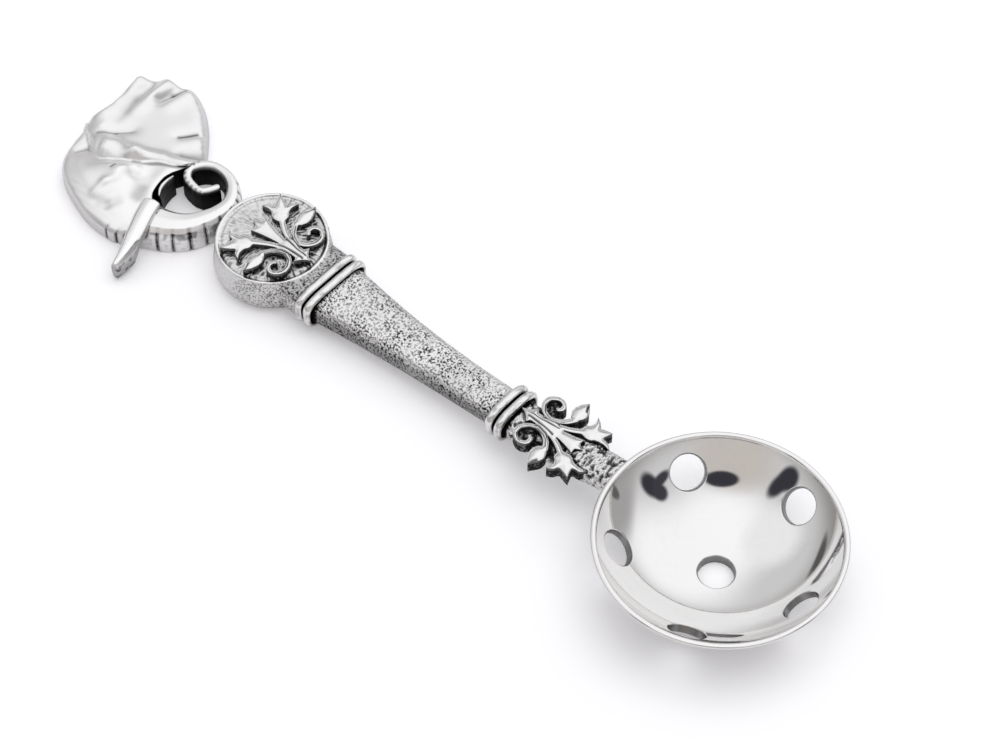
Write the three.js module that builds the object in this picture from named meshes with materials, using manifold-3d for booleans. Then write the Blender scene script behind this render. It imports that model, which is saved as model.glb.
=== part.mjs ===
// Olive spoon: a pierced round bowl on an ornamented handle that ends in an elephant's head.
// Millimetres, +Z up. The spoon lies on its back along X, bowl towards +X.
// The origin is the middle of the medallion's flat underside.

import * as THREE from 'three';
import { mergeVertices } from 'three/addons/utils/BufferGeometryUtils.js';
import Module from 'manifold-3d';

const wasm = await Module();
wasm.setup();
const { lerp, degToRad, clamp, smoothstep } = THREE.MathUtils;

// Joints between pieces
const SOLDER_GAP = 0.12;
const DOWEL_CLEARANCE = 0.1;
const SOCKET_END = 0.3;

// Bowl
const BOWL_RADIUS = 22;
const BOWL_DEPTH = 11.2;
const BOWL_FLOOR = 1.7;
const RIM_WIDTH = 0.6;
const RIM_ROUND = 0.5;
const DRAIN_DIAMETER = 6.4;
const DRAIN_COUNT = 5;
const DRAIN_CIRCLE_RADIUS = 17.1;
const DRAIN_TURN = 2.5;

// Medallion: widest low down, narrower at the top
const MEDALLION_RADIUS = 11.3;
const MEDALLION_TAPER = 0.6;
const MEDALLION_HEIGHT = 8.1;
const MEDALLION_BORDER = 1;
const MEDALLION_DISH = 0.4;
const MEDALLION_EDGE = 0.5;
const MEDALLION_FOOT = 3;
const SHOULDER_LENGTH = 1.15;
const SHOULDER_WIDTH = 15;
const SHOULDER_HEIGHT = 6.2;

// Shaft: width, height and height of the axis at each end
const SHAFT_LENGTH = 39.75;
const SHAFT_TOP_WIDTH = 13;
const SHAFT_TOP_HEIGHT = 6.2;
const SHAFT_TOP_AXIS = 4.7;
const SHAFT_END_WIDTH = 7.6;
const SHAFT_END_HEIGHT = 5;
const SHAFT_END_AXIS = 5.85;
const SHAFT_FLARE = 2.2;
const SHAFT_SWEEP = 3;

// Collars: two half-round wires round a band
const WIRE_WIDTH = 1.7;
const WIRE_RISE = 1.1;
const WIRE_PITCH = 2.1;
const UPPER_RING_WIDTH = 15.9;
const UPPER_RING_HEIGHT = 7.4;
const LOWER_RING_WIDTH = 11;
const LOWER_RING_HEIGHT = 6.9;
const LOWER_RING_AXIS = 6.2;

// Neck: rises and narrows towards the bowl, and runs on by the tuck to be cut to the bowl's face
const NECK_LENGTH = 22.6;
const NECK_WIDTH = 8;
const NECK_HEIGHT = 5;
const NECK_END_WIDTH = 7;
const NECK_END_HEIGHT = 4.4;
const NECK_RISE = 3.4;
const NECK_SWEEP = 1.6;
const NECK_TUCK = 7;

// Lily ornaments
const LILY_LENGTH = 13.4;
const LILY_SPAN = 18.4;
const LILY_TIP = 1.7;
const FLOWER_TILT = 46;
const MEDALLION_FLOWER_TURN = 12;
const MEDALLION_STEM_REACH = 1.1;
const MEDALLION_LILY_RISE = 1.6;
const MEDALLION_LILY_BASE = 8.1;
const NECK_LILY_LENGTH = 14.6;
const NECK_LILY_SPAN = 16;
const NECK_LILY_TOP = 10.2;
const NECK_LILY_THICKNESS = 2.8;
const NECK_LILY_SETBACK = 0.5;
const NECK_FAN_REACH = 0.87;
const NECK_INNER_PETAL = 1.1;
const NECK_MIDDLE_PETAL = 0.88;

// Dowels
const DOWEL_DIAMETER = 2.4;
const DOWEL_REACH = 6;
const TRUNK_DOWEL_DIAMETER = 1.8;
const TRUNK_DOWEL_REACH = 2.2;

// Elephant
const TRUNK_ROOT_WIDTH = 8.2;
const TRUNK_TIP_WIDTH = 1.2;
const TRUNK_ROOT_HEIGHT = 6.1;
const TRUNK_TIP_HEIGHT = 5.2;
const TUSK_WIDTH = 3.6;
const TUSK_TIP_WIDTH = 1.7;
const TUSK_ROOT_TOP = 7.2;
const TUSK_TIP_TOP = 4.8;
const TUSK_SEAT = 3.9;
const TUSK_UNDERSIDE = 0.4;
const TUSK_DROP_START = 0.55;
const TUSK_DROP_END = 0.72;
const HEAD_HEIGHT = 5.6;
const HEAD_EDGE = 3;
const HEAD_ROUND = 3;
const EAR_HEIGHT = 4.6;
const EAR_EDGE = 2.2;
const EAR_ROUND = 1.8;
const LIP_WIDTH = 1.4;
const LIP_TOP = 5.6;
const BELLY = 2;
const RELIEF_STEP = 1.1;
const RELIEF_LEAST = 0.4;

// Section shapes: 2 is an ellipse, higher is squarer
const SHAFT_SQUARENESS = 3.6;
const UPPER_RING_SQUARENESS = 4;
const LOWER_RING_SQUARENESS = 2.8;
const NECK_SQUARENESS = 3;
const TRUNK_SQUARENESS = 3;
const TUSK_SQUARENESS = 2.4;

// Facets
const BOWL_FACETS = 48;
const HOLE_FACETS = 24;
const MEDALLION_FACETS = 56;
const BAR_FACETS = 28;
const CURVED_BAR_FACETS = 14;
const WIRE_FACETS = 6;
const HOOP_FACETS = 32;
const PROFILE_STEPS = 4;
const SHAFT_STEPS = 10;
const NECK_STEPS = 8;
const TRUNK_STEPS = 40;
const TUSK_STEPS = 14;
const LIP_STEPS = 8;

// Plan lines of the elephant, measured from where its trunk touches the medallion
const TRUNK_PATH = [
  [-12, -9.9], [-8.2, -8.4], [-5.4, -6.3], [-3.7, -3.6], [-2.6, -0.2], [-2.7, 3], [-4.7, 5.9],
  [-7.1, 7.4], [-9.5, 7.8], [-11.8, 7.4], [-13.6, 5.9], [-14.3, 4], [-13.2, 2.2], [-11, 1.5],
  [-8.9, 1.5], [-7.8, 3], [-7.2, 4.4],
];
const TUSK_PATH = [[-12.9, -7.4], [-12, -10], [-10, -15], [-8.8, -19.6], [-8.5, -21.8]];
const LIP_PATH = [[-15, 0.5], [-15.2, -1.4], [-14.7, -3.4], [-13.5, -4.9]];
const FACE_LINE = [
  [-38, -0.4], [-36, -2], [-34.2, -3.2], [-32.2, -4.6], [-29.7, -5.6], [-27.6, -5], [-25.7, -3.4],
  [-22.7, -1.4], [-19.7, 1.2], [-16.7, 2.6], [-14.9, 4], [-14.1, 5.4],
];
const EAR_EDGE_LINE = [
  [-14.6, 8.4], [-16.8, 11.1], [-20.8, 15.4], [-24.8, 18.3], [-29.5, 20], [-31.8, 18.8],
  [-35.3, 19.2], [-36.8, 16.5], [-40.4, 16.1], [-39.6, 13], [-38.5, 7.1], [-38.8, 3.6],
];
const FOREHEAD_LINE = [
  [-37.9, -0.8], [-37.4, -2.6], [-36.7, -5.8], [-35.1, -9.5], [-32, -12.4], [-25.9, -14.9],
  [-20.7, -16.1], [-15.5, -16],
];
const JAW_LINE = [[-14.1, -6.2], [-15.4, -4.6], [-16.2, -1.6], [-16, 0.6], [-15.3, 2.2]];

// Places worked out from the sizes
const WELD = 1e-4;
const shoulderEnd = MEDALLION_RADIUS + SHOULDER_LENGTH;
const collarLength = WIRE_PITCH + WIRE_WIDTH;
const shaftStart = shoulderEnd + collarLength + 2 * SOLDER_GAP;
const shaftEnd = shaftStart + SHAFT_LENGTH;
const neckStart = shaftEnd + collarLength + 2 * SOLDER_GAP;
const bowlX = neckStart + NECK_LENGTH + BOWL_RADIUS;
const rimHeight = BOWL_FLOOR + BOWL_DEPTH;
const elephantX = -MEDALLION_RADIUS - SOLDER_GAP;

// Silver finishes
function silver(roughness, shade) {
  const color = new THREE.Color().setRGB(shade, shade, shade);
  return new THREE.MeshStandardMaterial({ color, roughness, metalness: 1 });
}

const spoon = new THREE.Group();

function place(name, solid, material) {
  const { vertProperties, triVerts } = solid.getMesh();
  const geometry = new THREE.BufferGeometry();
  geometry.setAttribute('position', new THREE.BufferAttribute(vertProperties, 3));
  geometry.setIndex(new THREE.BufferAttribute(triVerts, 1));
  geometry.computeVertexNormals();
  const mesh = new THREE.Mesh(geometry, material);
  mesh.name = name;
  spoon.add(mesh);
}

// A closed geometry as a solid that can be joined and cut
function toSolid(geometry) {
  const bare = geometry.clone();
  bare.deleteAttribute('normal');
  bare.deleteAttribute('uv');
  const { attributes, index } = mergeVertices(bare, WELD);
  const triangles = [];
  for (let i = 0; i < index.count; i += 3) {
    const corners = [index.getX(i), index.getX(i + 1), index.getX(i + 2)];
    if (new Set(corners).size === 3) triangles.push(...corners);
  }
  return new wasm.Manifold(new wasm.Mesh({
    numProp: 3,
    vertProperties: new Float32Array(attributes.position.array),
    triVerts: new Uint32Array(triangles),
  }));
}

function join(solids) {
  return solids.reduce((sum, solid) => sum.add(solid));
}

// A point on a rounded oblong
function oblong(angle, halfWidth, halfHeight, squareness) {
  const across = Math.cos(angle);
  const up = Math.sin(angle);
  return new THREE.Vector2(
    halfWidth * Math.sign(across) * Math.abs(across) ** (2 / squareness),
    halfHeight * Math.sign(up) * Math.abs(up) ** (2 / squareness),
  );
}

// A closed bar with flat ends. station(t) gives the middle, the half sizes and the heading.
function bar(steps, facets, squareness, station) {
  const geometry = new THREE.CylinderGeometry(1, 1, 1, facets, steps);
  const points = geometry.attributes.position;
  const up = new THREE.Vector3(0, 0, 1);
  for (let i = 0; i < points.count; i++) {
    const { middle, halfWidth, halfHeight, heading } = station(points.getY(i) + 0.5);
    const reach = Math.hypot(points.getX(i), points.getZ(i));
    const angle = Math.atan2(points.getZ(i), points.getX(i));
    const section = oblong(angle, halfWidth * reach, halfHeight * reach, squareness);
    const side = new THREE.Vector3().crossVectors(heading, up).normalize();
    const point = middle.clone().addScaledVector(side, section.x).addScaledVector(up, section.y);
    points.setXYZ(i, point.x, point.y, point.z);
  }
  return toSolid(geometry);
}

// A bar along X. sizeAt(t) gives its width, its height and the height of its axis.
function levelBar(start, end, steps, squareness, sizeAt, swell = 0) {
  const heading = new THREE.Vector3(1, 0, 0);
  return bar(steps, BAR_FACETS, squareness, (t) => {
    const { width, height, axis } = sizeAt(t);
    return {
      middle: new THREE.Vector3(lerp(start, end, t), 0, axis),
      halfWidth: width / 2 + swell,
      halfHeight: height / 2 + swell,
      heading,
    };
  });
}

function planCurve(plan) {
  const path = plan.map(([x, y]) => new THREE.Vector3(x + elephantX, y, 0));
  return new THREE.CatmullRomCurve3(path, false, 'centripetal');
}

// A bar that lies flat along a plan curve, between the heights low(t) and high(t)
function curvedBar(curve, steps, squareness, halfWidth, low, high, swell = 0) {
  return bar(steps, CURVED_BAR_FACETS, squareness, (t) => {
    const middle = curve.getPointAt(t);
    middle.z = (low(t) + high(t)) / 2;
    return {
      middle,
      halfWidth: halfWidth(t) + swell,
      halfHeight: (high(t) - low(t)) / 2 + swell,
      heading: curve.getTangentAt(t),
    };
  });
}

// A round peg along X
function peg(start, end, axis, radius) {
  const geometry = new THREE.CylinderGeometry(radius, radius, end - start, HOLE_FACETS);
  geometry.rotateZ(-Math.PI / 2);
  geometry.translate((start + end) / 2, 0, axis);
  return toSolid(geometry);
}

function socket(start, end, axis, radius) {
  return peg(start - SOCKET_END, end + SOCKET_END, axis, radius + DOWEL_CLEARANCE);
}

function prism(shape, bottom, top) {
  const geometry = new THREE.ExtrudeGeometry(shape, {
    depth: top - bottom,
    bevelEnabled: false,
    curveSegments: MEDALLION_FACETS / 2,
  });
  geometry.translate(0, 0, bottom);
  return toSolid(geometry);
}

// Bowl: two spherical faces that meet in a rounded rim, pierced by drain holes
const insideRadius = BOWL_RADIUS - RIM_WIDTH;
const insideSphere = (insideRadius ** 2 + BOWL_DEPTH ** 2) / (2 * BOWL_DEPTH);
const insideCentre = BOWL_FLOOR + insideSphere;
const drainRadius = DRAIN_DIAMETER / 2;
const edgeHeight = rimHeight - RIM_ROUND;
const outsideCentre = (BOWL_RADIUS ** 2 + edgeHeight ** 2 - drainRadius ** 2) / (2 * edgeHeight);
const outsideSphere = Math.hypot(drainRadius, outsideCentre);

function bowlBlank() {
  const outsideEdge = Math.atan2(edgeHeight - outsideCentre, BOWL_RADIUS);
  const insideEdge = Math.atan2(rimHeight - insideCentre, insideRadius);
  const profile = new THREE.Path();
  profile.absarc(0, outsideCentre, outsideSphere, -Math.PI / 2, outsideEdge, false);
  profile.quadraticCurveTo(BOWL_RADIUS, rimHeight, insideRadius, rimHeight);
  profile.absarc(0, insideCentre, insideSphere, insideEdge, -Math.PI / 2, true);
  const points = profile.getPoints(PROFILE_STEPS);
  points[0].x = 0;
  points[points.length - 1].x = 0;
  const geometry = new THREE.LatheGeometry(points, BOWL_FACETS);
  geometry.rotateX(Math.PI / 2);
  return toSolid(geometry);
}

function drainHole(turn, tilt) {
  const geometry = new THREE.CylinderGeometry(drainRadius, drainRadius, BOWL_DEPTH, HOLE_FACETS);
  geometry.rotateX(Math.PI / 2);
  geometry.translate(0, 0, -insideSphere);
  geometry.rotateY(-tilt);
  geometry.rotateZ(turn);
  geometry.translate(0, 0, insideCentre);
  return toSolid(geometry);
}

function makeBowl() {
  const holes = [drainHole(0, 0)];
  const tilt = Math.asin(DRAIN_CIRCLE_RADIUS / insideSphere);
  for (let i = 0; i < DRAIN_COUNT; i++) {
    const turn = degToRad(DRAIN_TURN) + (i * 2 * Math.PI) / DRAIN_COUNT;
    holes.push(drainHole(turn, tilt));
  }
  return bowlBlank().subtract(join(holes)).translate([bowlX, 0, 0]);
}

place('bowl', makeBowl(), silver(0.12, 0.86));

// Dowel places
const upperDowel = [shoulderEnd - DOWEL_REACH, shaftStart + DOWEL_REACH, SHAFT_TOP_AXIS];
const lowerDowel = [shaftEnd - DOWEL_REACH, neckStart + DOWEL_REACH, SHAFT_END_AXIS];
const trunkDowelAxis = TRUNK_TIP_HEIGHT / 2;
const trunkDowel = [elephantX - TRUNK_DOWEL_REACH, elephantX + TRUNK_DOWEL_REACH, trunkDowelAxis];
place('upper_dowel', peg(...upperDowel, DOWEL_DIAMETER / 2), silver(0.4, 0.7));
place('lower_dowel', peg(...lowerDowel, DOWEL_DIAMETER / 2), silver(0.4, 0.7));
place('trunk_dowel', peg(...trunkDowel, TRUNK_DOWEL_DIAMETER / 2), silver(0.4, 0.7));

// Shaft
function makeShaft() {
  const sizeAt = (t) => ({
    width: lerp(SHAFT_END_WIDTH, SHAFT_TOP_WIDTH, (1 - t) ** SHAFT_FLARE),
    height: lerp(SHAFT_TOP_HEIGHT, SHAFT_END_HEIGHT, t),
    axis: lerp(SHAFT_TOP_AXIS, SHAFT_END_AXIS, t ** SHAFT_SWEEP),
  });
  return levelBar(shaftStart, shaftEnd, SHAFT_STEPS, SHAFT_SQUARENESS, sizeAt)
    .subtract(socket(...upperDowel, DOWEL_DIAMETER / 2))
    .subtract(socket(...lowerDowel, DOWEL_DIAMETER / 2));
}

place('shaft', makeShaft(), silver(0.45, 0.68));

// Collars
function wireHoop(x, { width, height, axis, squareness }) {
  const geometry = new THREE.TorusGeometry(2, 1, WIRE_FACETS, HOOP_FACETS);
  const points = geometry.attributes.position;
  const halfWidth = (width - WIRE_RISE) / 2;
  const halfHeight = (height - WIRE_RISE) / 2;
  for (let i = 0; i < points.count; i++) {
    const angle = Math.atan2(points.getY(i), points.getX(i));
    const outward = Math.hypot(points.getX(i), points.getY(i)) - 2;
    const middle = oblong(angle, halfWidth, halfHeight, squareness);
    const rim = oblong(angle, halfWidth + WIRE_RISE / 2, halfHeight + WIRE_RISE / 2, squareness);
    const point = middle.lerp(rim, outward);
    points.setXYZ(i, x + (points.getZ(i) * WIRE_WIDTH) / 2, point.x, axis + point.y);
  }
  return toSolid(geometry);
}

function makeCollar(prefix, start, ring, dowel) {
  const bandStart = start + SOLDER_GAP;
  const under = 2 * (WIRE_RISE + SOLDER_GAP);
  const size = { width: ring.width - under, height: ring.height - under, axis: ring.axis };
  const band = levelBar(bandStart, bandStart + collarLength, 1, ring.squareness, () => size);
  const hole = socket(...dowel, DOWEL_DIAMETER / 2);
  place(`${prefix}_collar_band`, band.subtract(hole), silver(0.5, 0.3));
  const rear = bandStart + WIRE_WIDTH / 2;
  place(`${prefix}_collar_ring_rear`, wireHoop(rear, ring), silver(0.25, 0.78));
  place(`${prefix}_collar_ring_front`, wireHoop(rear + WIRE_PITCH, ring), silver(0.25, 0.78));
}

makeCollar('upper', shoulderEnd, {
  width: UPPER_RING_WIDTH,
  height: UPPER_RING_HEIGHT,
  axis: SHAFT_TOP_AXIS,
  squareness: UPPER_RING_SQUARENESS,
}, upperDowel);
makeCollar('lower', shaftEnd, {
  width: LOWER_RING_WIDTH,
  height: LOWER_RING_HEIGHT,
  axis: LOWER_RING_AXIS,
  squareness: LOWER_RING_SQUARENESS,
}, lowerDowel);

// Neck: rises to meet the bowl's outside face
function neckBar(swell) {
  const length = NECK_LENGTH + NECK_TUCK;
  const sizeAt = (t) => {
    const along = (t * length) / NECK_LENGTH;
    return {
      width: lerp(NECK_WIDTH, NECK_END_WIDTH, along),
      height: lerp(NECK_HEIGHT, NECK_END_HEIGHT, along),
      axis: SHAFT_END_AXIS + NECK_RISE * along ** NECK_SWEEP,
    };
  };
  return levelBar(neckStart, neckStart + length, NECK_STEPS, NECK_SQUARENESS, sizeAt, swell);
}

function makeNeck() {
  const ball = new THREE.SphereGeometry(outsideSphere + SOLDER_GAP, 64, 48);
  ball.rotateX(Math.PI / 2);
  ball.translate(bowlX, 0, outsideCentre);
  return neckBar(0)
    .subtract(toSolid(ball))
    .subtract(socket(...lowerDowel, DOWEL_DIAMETER / 2));
}

place('neck', makeNeck(), silver(0.5, 0.62));

// Medallion
const medallionTop = MEDALLION_RADIUS - MEDALLION_TAPER;
const medallionFloor = MEDALLION_HEIGHT - MEDALLION_DISH;

function medallionDisc() {
  const profile = new THREE.Path();
  profile.moveTo(0, 0);
  profile.lineTo(MEDALLION_RADIUS - MEDALLION_FOOT, 0);
  profile.quadraticCurveTo(MEDALLION_RADIUS, 0, MEDALLION_RADIUS, MEDALLION_FOOT);
  profile.lineTo(medallionTop, MEDALLION_HEIGHT - MEDALLION_EDGE);
  profile.quadraticCurveTo(medallionTop, MEDALLION_HEIGHT, medallionTop - MEDALLION_EDGE, MEDALLION_HEIGHT);
  profile.lineTo(medallionTop - MEDALLION_BORDER, medallionFloor);
  profile.lineTo(0, medallionFloor);
  const geometry = new THREE.LatheGeometry(profile.getPoints(PROFILE_STEPS), MEDALLION_FACETS);
  geometry.rotateX(Math.PI / 2);
  return toSolid(geometry);
}

function makeMedallion() {
  const size = { width: SHOULDER_WIDTH, height: SHOULDER_HEIGHT, axis: SHAFT_TOP_AXIS };
  const shoulder = levelBar(MEDALLION_RADIUS / 2, shoulderEnd, 1, SHAFT_SQUARENESS, () => size);
  const top = new THREE.Shape().absarc(0, 0, medallionTop - MEDALLION_BORDER, 0, 2 * Math.PI);
  return medallionDisc()
    .add(shoulder.subtract(prism(top, medallionFloor, rimHeight)))
    .subtract(socket(...upperDowel, DOWEL_DIAMETER / 2))
    .subtract(socket(...trunkDowel, TRUNK_DOWEL_DIAMETER / 2));
}

place('medallion', makeMedallion(), silver(0.45, 0.66));

// Lily ornament, base at the origin and flowers towards +X, drawn on a grid and scaled to its size
const LILY_GRID = new THREE.Vector2(13.4, 18.4);

function ribbon(points, startWidth, endWidth) {
  const curve = new THREE.SplineCurve(points.map(([x, y]) => new THREE.Vector2(x, y)));
  const steps = 3 * points.length;
  const left = [];
  const right = [];
  for (let i = 0; i <= steps; i++) {
    const middle = curve.getPointAt(i / steps);
    const heading = curve.getTangentAt(i / steps);
    const half = lerp(startWidth, endWidth, i / steps) / 2;
    const across = new THREE.Vector2(-heading.y, heading.x).multiplyScalar(half);
    left.push(middle.clone().add(across));
    right.unshift(middle.clone().sub(across));
  }
  return [...left, ...right];
}

function lilyStar() {
  const shape = new THREE.Shape();
  const tip = (LILY_TIP * LILY_GRID.x) / LILY_LENGTH;
  shape.moveTo(-tip, 0);
  shape.quadraticCurveTo(-0.2, -0.5, 0.5, -2.1);
  shape.quadraticCurveTo(0.9, -0.9, 2, -0.6);
  shape.lineTo(2, 0.6);
  shape.quadraticCurveTo(0.9, 0.9, 0.5, 2.1);
  shape.quadraticCurveTo(-0.2, 0.5, -tip, 0);
  return shape.getPoints(4);
}

function lilyFan(reach) {
  const shape = new THREE.Shape();
  shape.moveTo(0.5, -0.5);
  shape.quadraticCurveTo(7 * reach, -0.5, 11.5 * reach, -2);
  shape.lineTo(11.4 * reach, -0.8);
  shape.lineTo(12.8 * reach, 0);
  shape.lineTo(11.4 * reach, 0.8);
  shape.lineTo(11.5 * reach, 2);
  shape.quadraticCurveTo(7 * reach, 0.5, 0.5, 0.5);
  return shape.getPoints(5);
}

// From the calyx round one side petal to the tip of the middle petal
function petalLine(side, middle) {
  const toTip = [[-0.3, 0], [0.1, 0.9], [0.9, 1.6], [1.9, 1.6], [2.9 * side, 2.3 * side]];
  const tip = [3.5 * side, 3.5 * side];
  const fromTip = [tip, [3.75 * side, 2.2 * side], [3.3, 1.2], [4.4 * middle, 0.8], [6.1 * middle, 0]];
  const vectors = (line) => line.map(([x, y]) => new THREE.Vector2(x, y));
  const outer = new THREE.SplineCurve(vectors([...toTip, tip])).getPoints(9);
  const inner = new THREE.SplineCurve(vectors(fromTip)).getPoints(7);
  return [...outer, ...inner.slice(1)];
}

function lilyFlower({ tilt, stem, inner, middle }) {
  const calyx = new THREE.Vector2(8.9, 3.2).multiplyScalar(stem);
  const innerLine = petalLine(inner, middle).map((point) => new THREE.Vector2(point.x, -point.y));
  const outerLine = petalLine(1, middle).slice(1, -1).reverse();
  const origin = new THREE.Vector2();
  const turned = (point) => point.rotateAround(origin, degToRad(tilt)).add(calyx);
  return [...innerLine, ...outerLine].map(turned);
}

function lilyBud() {
  const shape = new THREE.Shape();
  shape.moveTo(6, 4.3);
  shape.bezierCurveTo(4.4, 5.4, 4.2, 7.4, 6.1, 9.7);
  shape.bezierCurveTo(6.6, 8.4, 7.6, 7.8, 7.4, 6.4);
  shape.bezierCurveTo(7.3, 5.6, 7, 5, 6, 4.3);
  return shape.getPoints(5);
}

function lilyStem({ stem }) {
  return ribbon([[0.6, 0.8], [2.7, 0.8], [4.7, 1.2], [6.9, 2.1], [9.2 * stem, 3.8 * stem]], 0.8, 1.1);
}

function lilyScroll() {
  const line = [
    [6.5, 5], [5.6, 3.3], [4.4, 2.2], [3, 1.7], [1.5, 2.3], [0.5, 3.8], [0.6, 5.5], [1.9, 6.6],
    [3.2, 6.1], [3.4, 4.9], [2.7, 4.2],
  ];
  return ribbon(line, 1, 0.7);
}

function lily({ length, span, bottom, top, fan, flowers }) {
  const along = length / LILY_GRID.x;
  const across = span / LILY_GRID.y;
  const cut = (outline, side) => {
    const points = outline.map(({ x, y }) => new THREE.Vector2(x * along, y * across * side));
    return prism(new THREE.Shape(points), bottom, top);
  };
  const pieces = [cut(lilyStar(), 1), cut(lilyFan(fan), 1)];
  [1, -1].forEach((side, i) => {
    const outlines = [lilyStem(flowers[i]), lilyScroll(), lilyBud(), lilyFlower(flowers[i])];
    pieces.push(...outlines.map((outline) => cut(outline, side)));
  });
  return join(pieces);
}

function makeMedallionLily() {
  const flower = { tilt: FLOWER_TILT, stem: 1, inner: 1, middle: 1 };
  const turned = { ...flower, tilt: FLOWER_TILT + MEDALLION_FLOWER_TURN, stem: MEDALLION_STEM_REACH };
  return lily({
    length: LILY_LENGTH,
    span: LILY_SPAN,
    bottom: medallionFloor + SOLDER_GAP,
    top: MEDALLION_HEIGHT + MEDALLION_LILY_RISE,
    fan: 1,
    flowers: [turned, flower],
  }).rotate([0, 0, 180]).translate([MEDALLION_LILY_BASE, 0, 0]);
}

function makeNeckLily() {
  const flower = { tilt: FLOWER_TILT, stem: 1, inner: NECK_INNER_PETAL, middle: NECK_MIDDLE_PETAL };
  const tip = (LILY_TIP * NECK_LILY_LENGTH) / LILY_LENGTH;
  return lily({
    length: NECK_LILY_LENGTH,
    span: NECK_LILY_SPAN,
    bottom: NECK_LILY_TOP - NECK_LILY_THICKNESS,
    top: NECK_LILY_TOP,
    fan: NECK_FAN_REACH,
    flowers: [flower, flower],
  }).translate([neckStart + NECK_LILY_SETBACK + tip, 0, 0]).subtract(neckBar(SOLDER_GAP));
}

place('medallion_lily', makeMedallionLily(), silver(0.3, 0.8));
place('neck_lily', makeNeckLily(), silver(0.3, 0.8));

// Elephant: trunk, tusk and lip are bars along plan curves
const trunkCurve = planCurve(TRUNK_PATH);

function trunkBar(swell) {
  const halfWidth = (t) => lerp(TRUNK_TIP_WIDTH, TRUNK_ROOT_WIDTH, (1 - t) ** 2) / 2;
  const high = (t) => lerp(TRUNK_ROOT_HEIGHT, TRUNK_TIP_HEIGHT, t);
  return curvedBar(trunkCurve, TRUNK_STEPS, TRUNK_SQUARENESS, halfWidth, () => -BELLY, high, swell);
}

function tuskBar(swell) {
  const curve = planCurve(TUSK_PATH);
  const halfWidth = (t) => lerp(TUSK_TIP_WIDTH, TUSK_WIDTH, Math.sqrt(1 - t)) / 2;
  const low = (t) => lerp(TUSK_SEAT, TUSK_UNDERSIDE, smoothstep(t, TUSK_DROP_START, TUSK_DROP_END));
  const high = (t) => lerp(TUSK_ROOT_TOP, TUSK_TIP_TOP, t ** 2);
  return curvedBar(curve, TUSK_STEPS, TUSK_SQUARENESS, halfWidth, low, high, swell);
}

function lipBar(swell) {
  const curve = planCurve(LIP_PATH);
  const halfWidth = (t) => lerp(LIP_WIDTH / 2, LIP_WIDTH, Math.sin(Math.PI * t)) / 2;
  return curvedBar(curve, LIP_STEPS, TUSK_SQUARENESS, halfWidth, () => -BELLY, () => LIP_TOP, swell);
}

// A ridge, or a crease where the height is negative, along a line between two plan points
function stroke(point, from, to, width, height) {
  const line = new THREE.Line3(new THREE.Vector3(...from, 0), new THREE.Vector3(...to, 0));
  const nearest = line.closestPointToPoint(new THREE.Vector3(point.x, point.y, 0), true, new THREE.Vector3());
  const away = Math.hypot(point.x - nearest.x, point.y - nearest.y) / width;
  return height * Math.exp(-away * away);
}

function faceHeight(point) {
  return HEAD_HEIGHT
    + stroke(point, [-27, -8.2], [-22, -7], 4.6, 0.9)
    + stroke(point, [-24.4, -5.9], [-23, -6.8], 1.7, 0.7)
    + stroke(point, [-33, -8], [-20, -13], 2.6, 0.5)
    + stroke(point, [-33.5, -5.4], [-29.5, -7], 1.8, -0.9)
    + stroke(point, [-19.5, -1.5], [-18, -4.5], 2.4, -0.9)
    + stroke(point, [-16.6, -6.4], [-16, -8.8], 1, -0.5);
}

function earHeight(point) {
  return EAR_HEIGHT
    + stroke(point, [-35.4, -0.6], [-30.2, -3.2], 1.9, 1.2)
    + stroke(point, [-30.2, -3.2], [-24.8, -0.6], 1.9, 1.2)
    + stroke(point, [-24.8, -0.6], [-15.4, 4.4], 1.3, 1.3)
    + stroke(point, [-37.4, 4], [-38.8, 14], 1.4, 0.7)
    + stroke(point, [-33.4, 8], [-33, 18], 1.5, 0.7)
    + stroke(point, [-28.8, 13], [-28.2, 18.4], 1.3, 0.7)
    + stroke(point, [-31.4, 12.6], [-30.2, 18], 1, -1.2)
    + stroke(point, [-35.8, 11.5], [-34.8, 17], 1.2, -0.8)
    + stroke(point, [-33.6, 0.8], [-29.8, 4.2], 1, -0.9)
    + stroke(point, [-22, 8.6], [-19.6, 11.6], 0.9, -0.8)
    + stroke(point, [-17.6, 6.9], [-16.2, 7.4], 1.6, -1.1);
}

// How far a point lies to the left of a line, or, where negative, to its right
function leftOf(point, line) {
  let least = Infinity;
  for (let i = 0; i + 1 < line.length; i++) {
    const side = line[i + 1].clone().sub(line[i]);
    const reach = point.clone().sub(line[i]);
    const t = clamp(reach.dot(side) / side.lengthSq(), 0, 1);
    const away = reach.distanceTo(side.clone().multiplyScalar(t));
    if (away < Math.abs(least)) least = side.cross(reach) < 0 ? -away : away;
  }
  return least;
}

// A half relief on a flat back: a raised plate, trimmed to the outline and rounded at its free edge
function relief(outline, freeEdge, height, edge, round) {
  const box = new THREE.Box2().setFromPoints(outline);
  const size = box.getSize(new THREE.Vector2());
  const middle = box.getCenter(new THREE.Vector2());
  const columns = Math.ceil(size.x / RELIEF_STEP);
  const rows = Math.ceil(size.y / RELIEF_STEP);
  const plate = new THREE.BoxGeometry(size.x, size.y, 2, columns, rows, 1);
  const points = plate.attributes.position;
  for (let i = 0; i < points.count; i++) {
    if (points.getZ(i) > 0) {
      const point = new THREE.Vector2(points.getX(i), points.getY(i)).add(middle);
      const inset = Math.min(leftOf(point, freeEdge) / round, 1);
      const rise = inset > 0 ? 1 - (1 - inset) ** 2 : 2 * inset;
      points.setZ(i, Math.max(lerp(edge, height(point), rise), RELIEF_LEAST));
    }
  }
  plate.translate(middle.x, middle.y, 0);
  const trim = prism(new THREE.Shape(outline), 0, 2 * HEAD_HEIGHT);
  return toSolid(plate).intersect(trim).translate([elephantX, 0, 0]);
}

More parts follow.
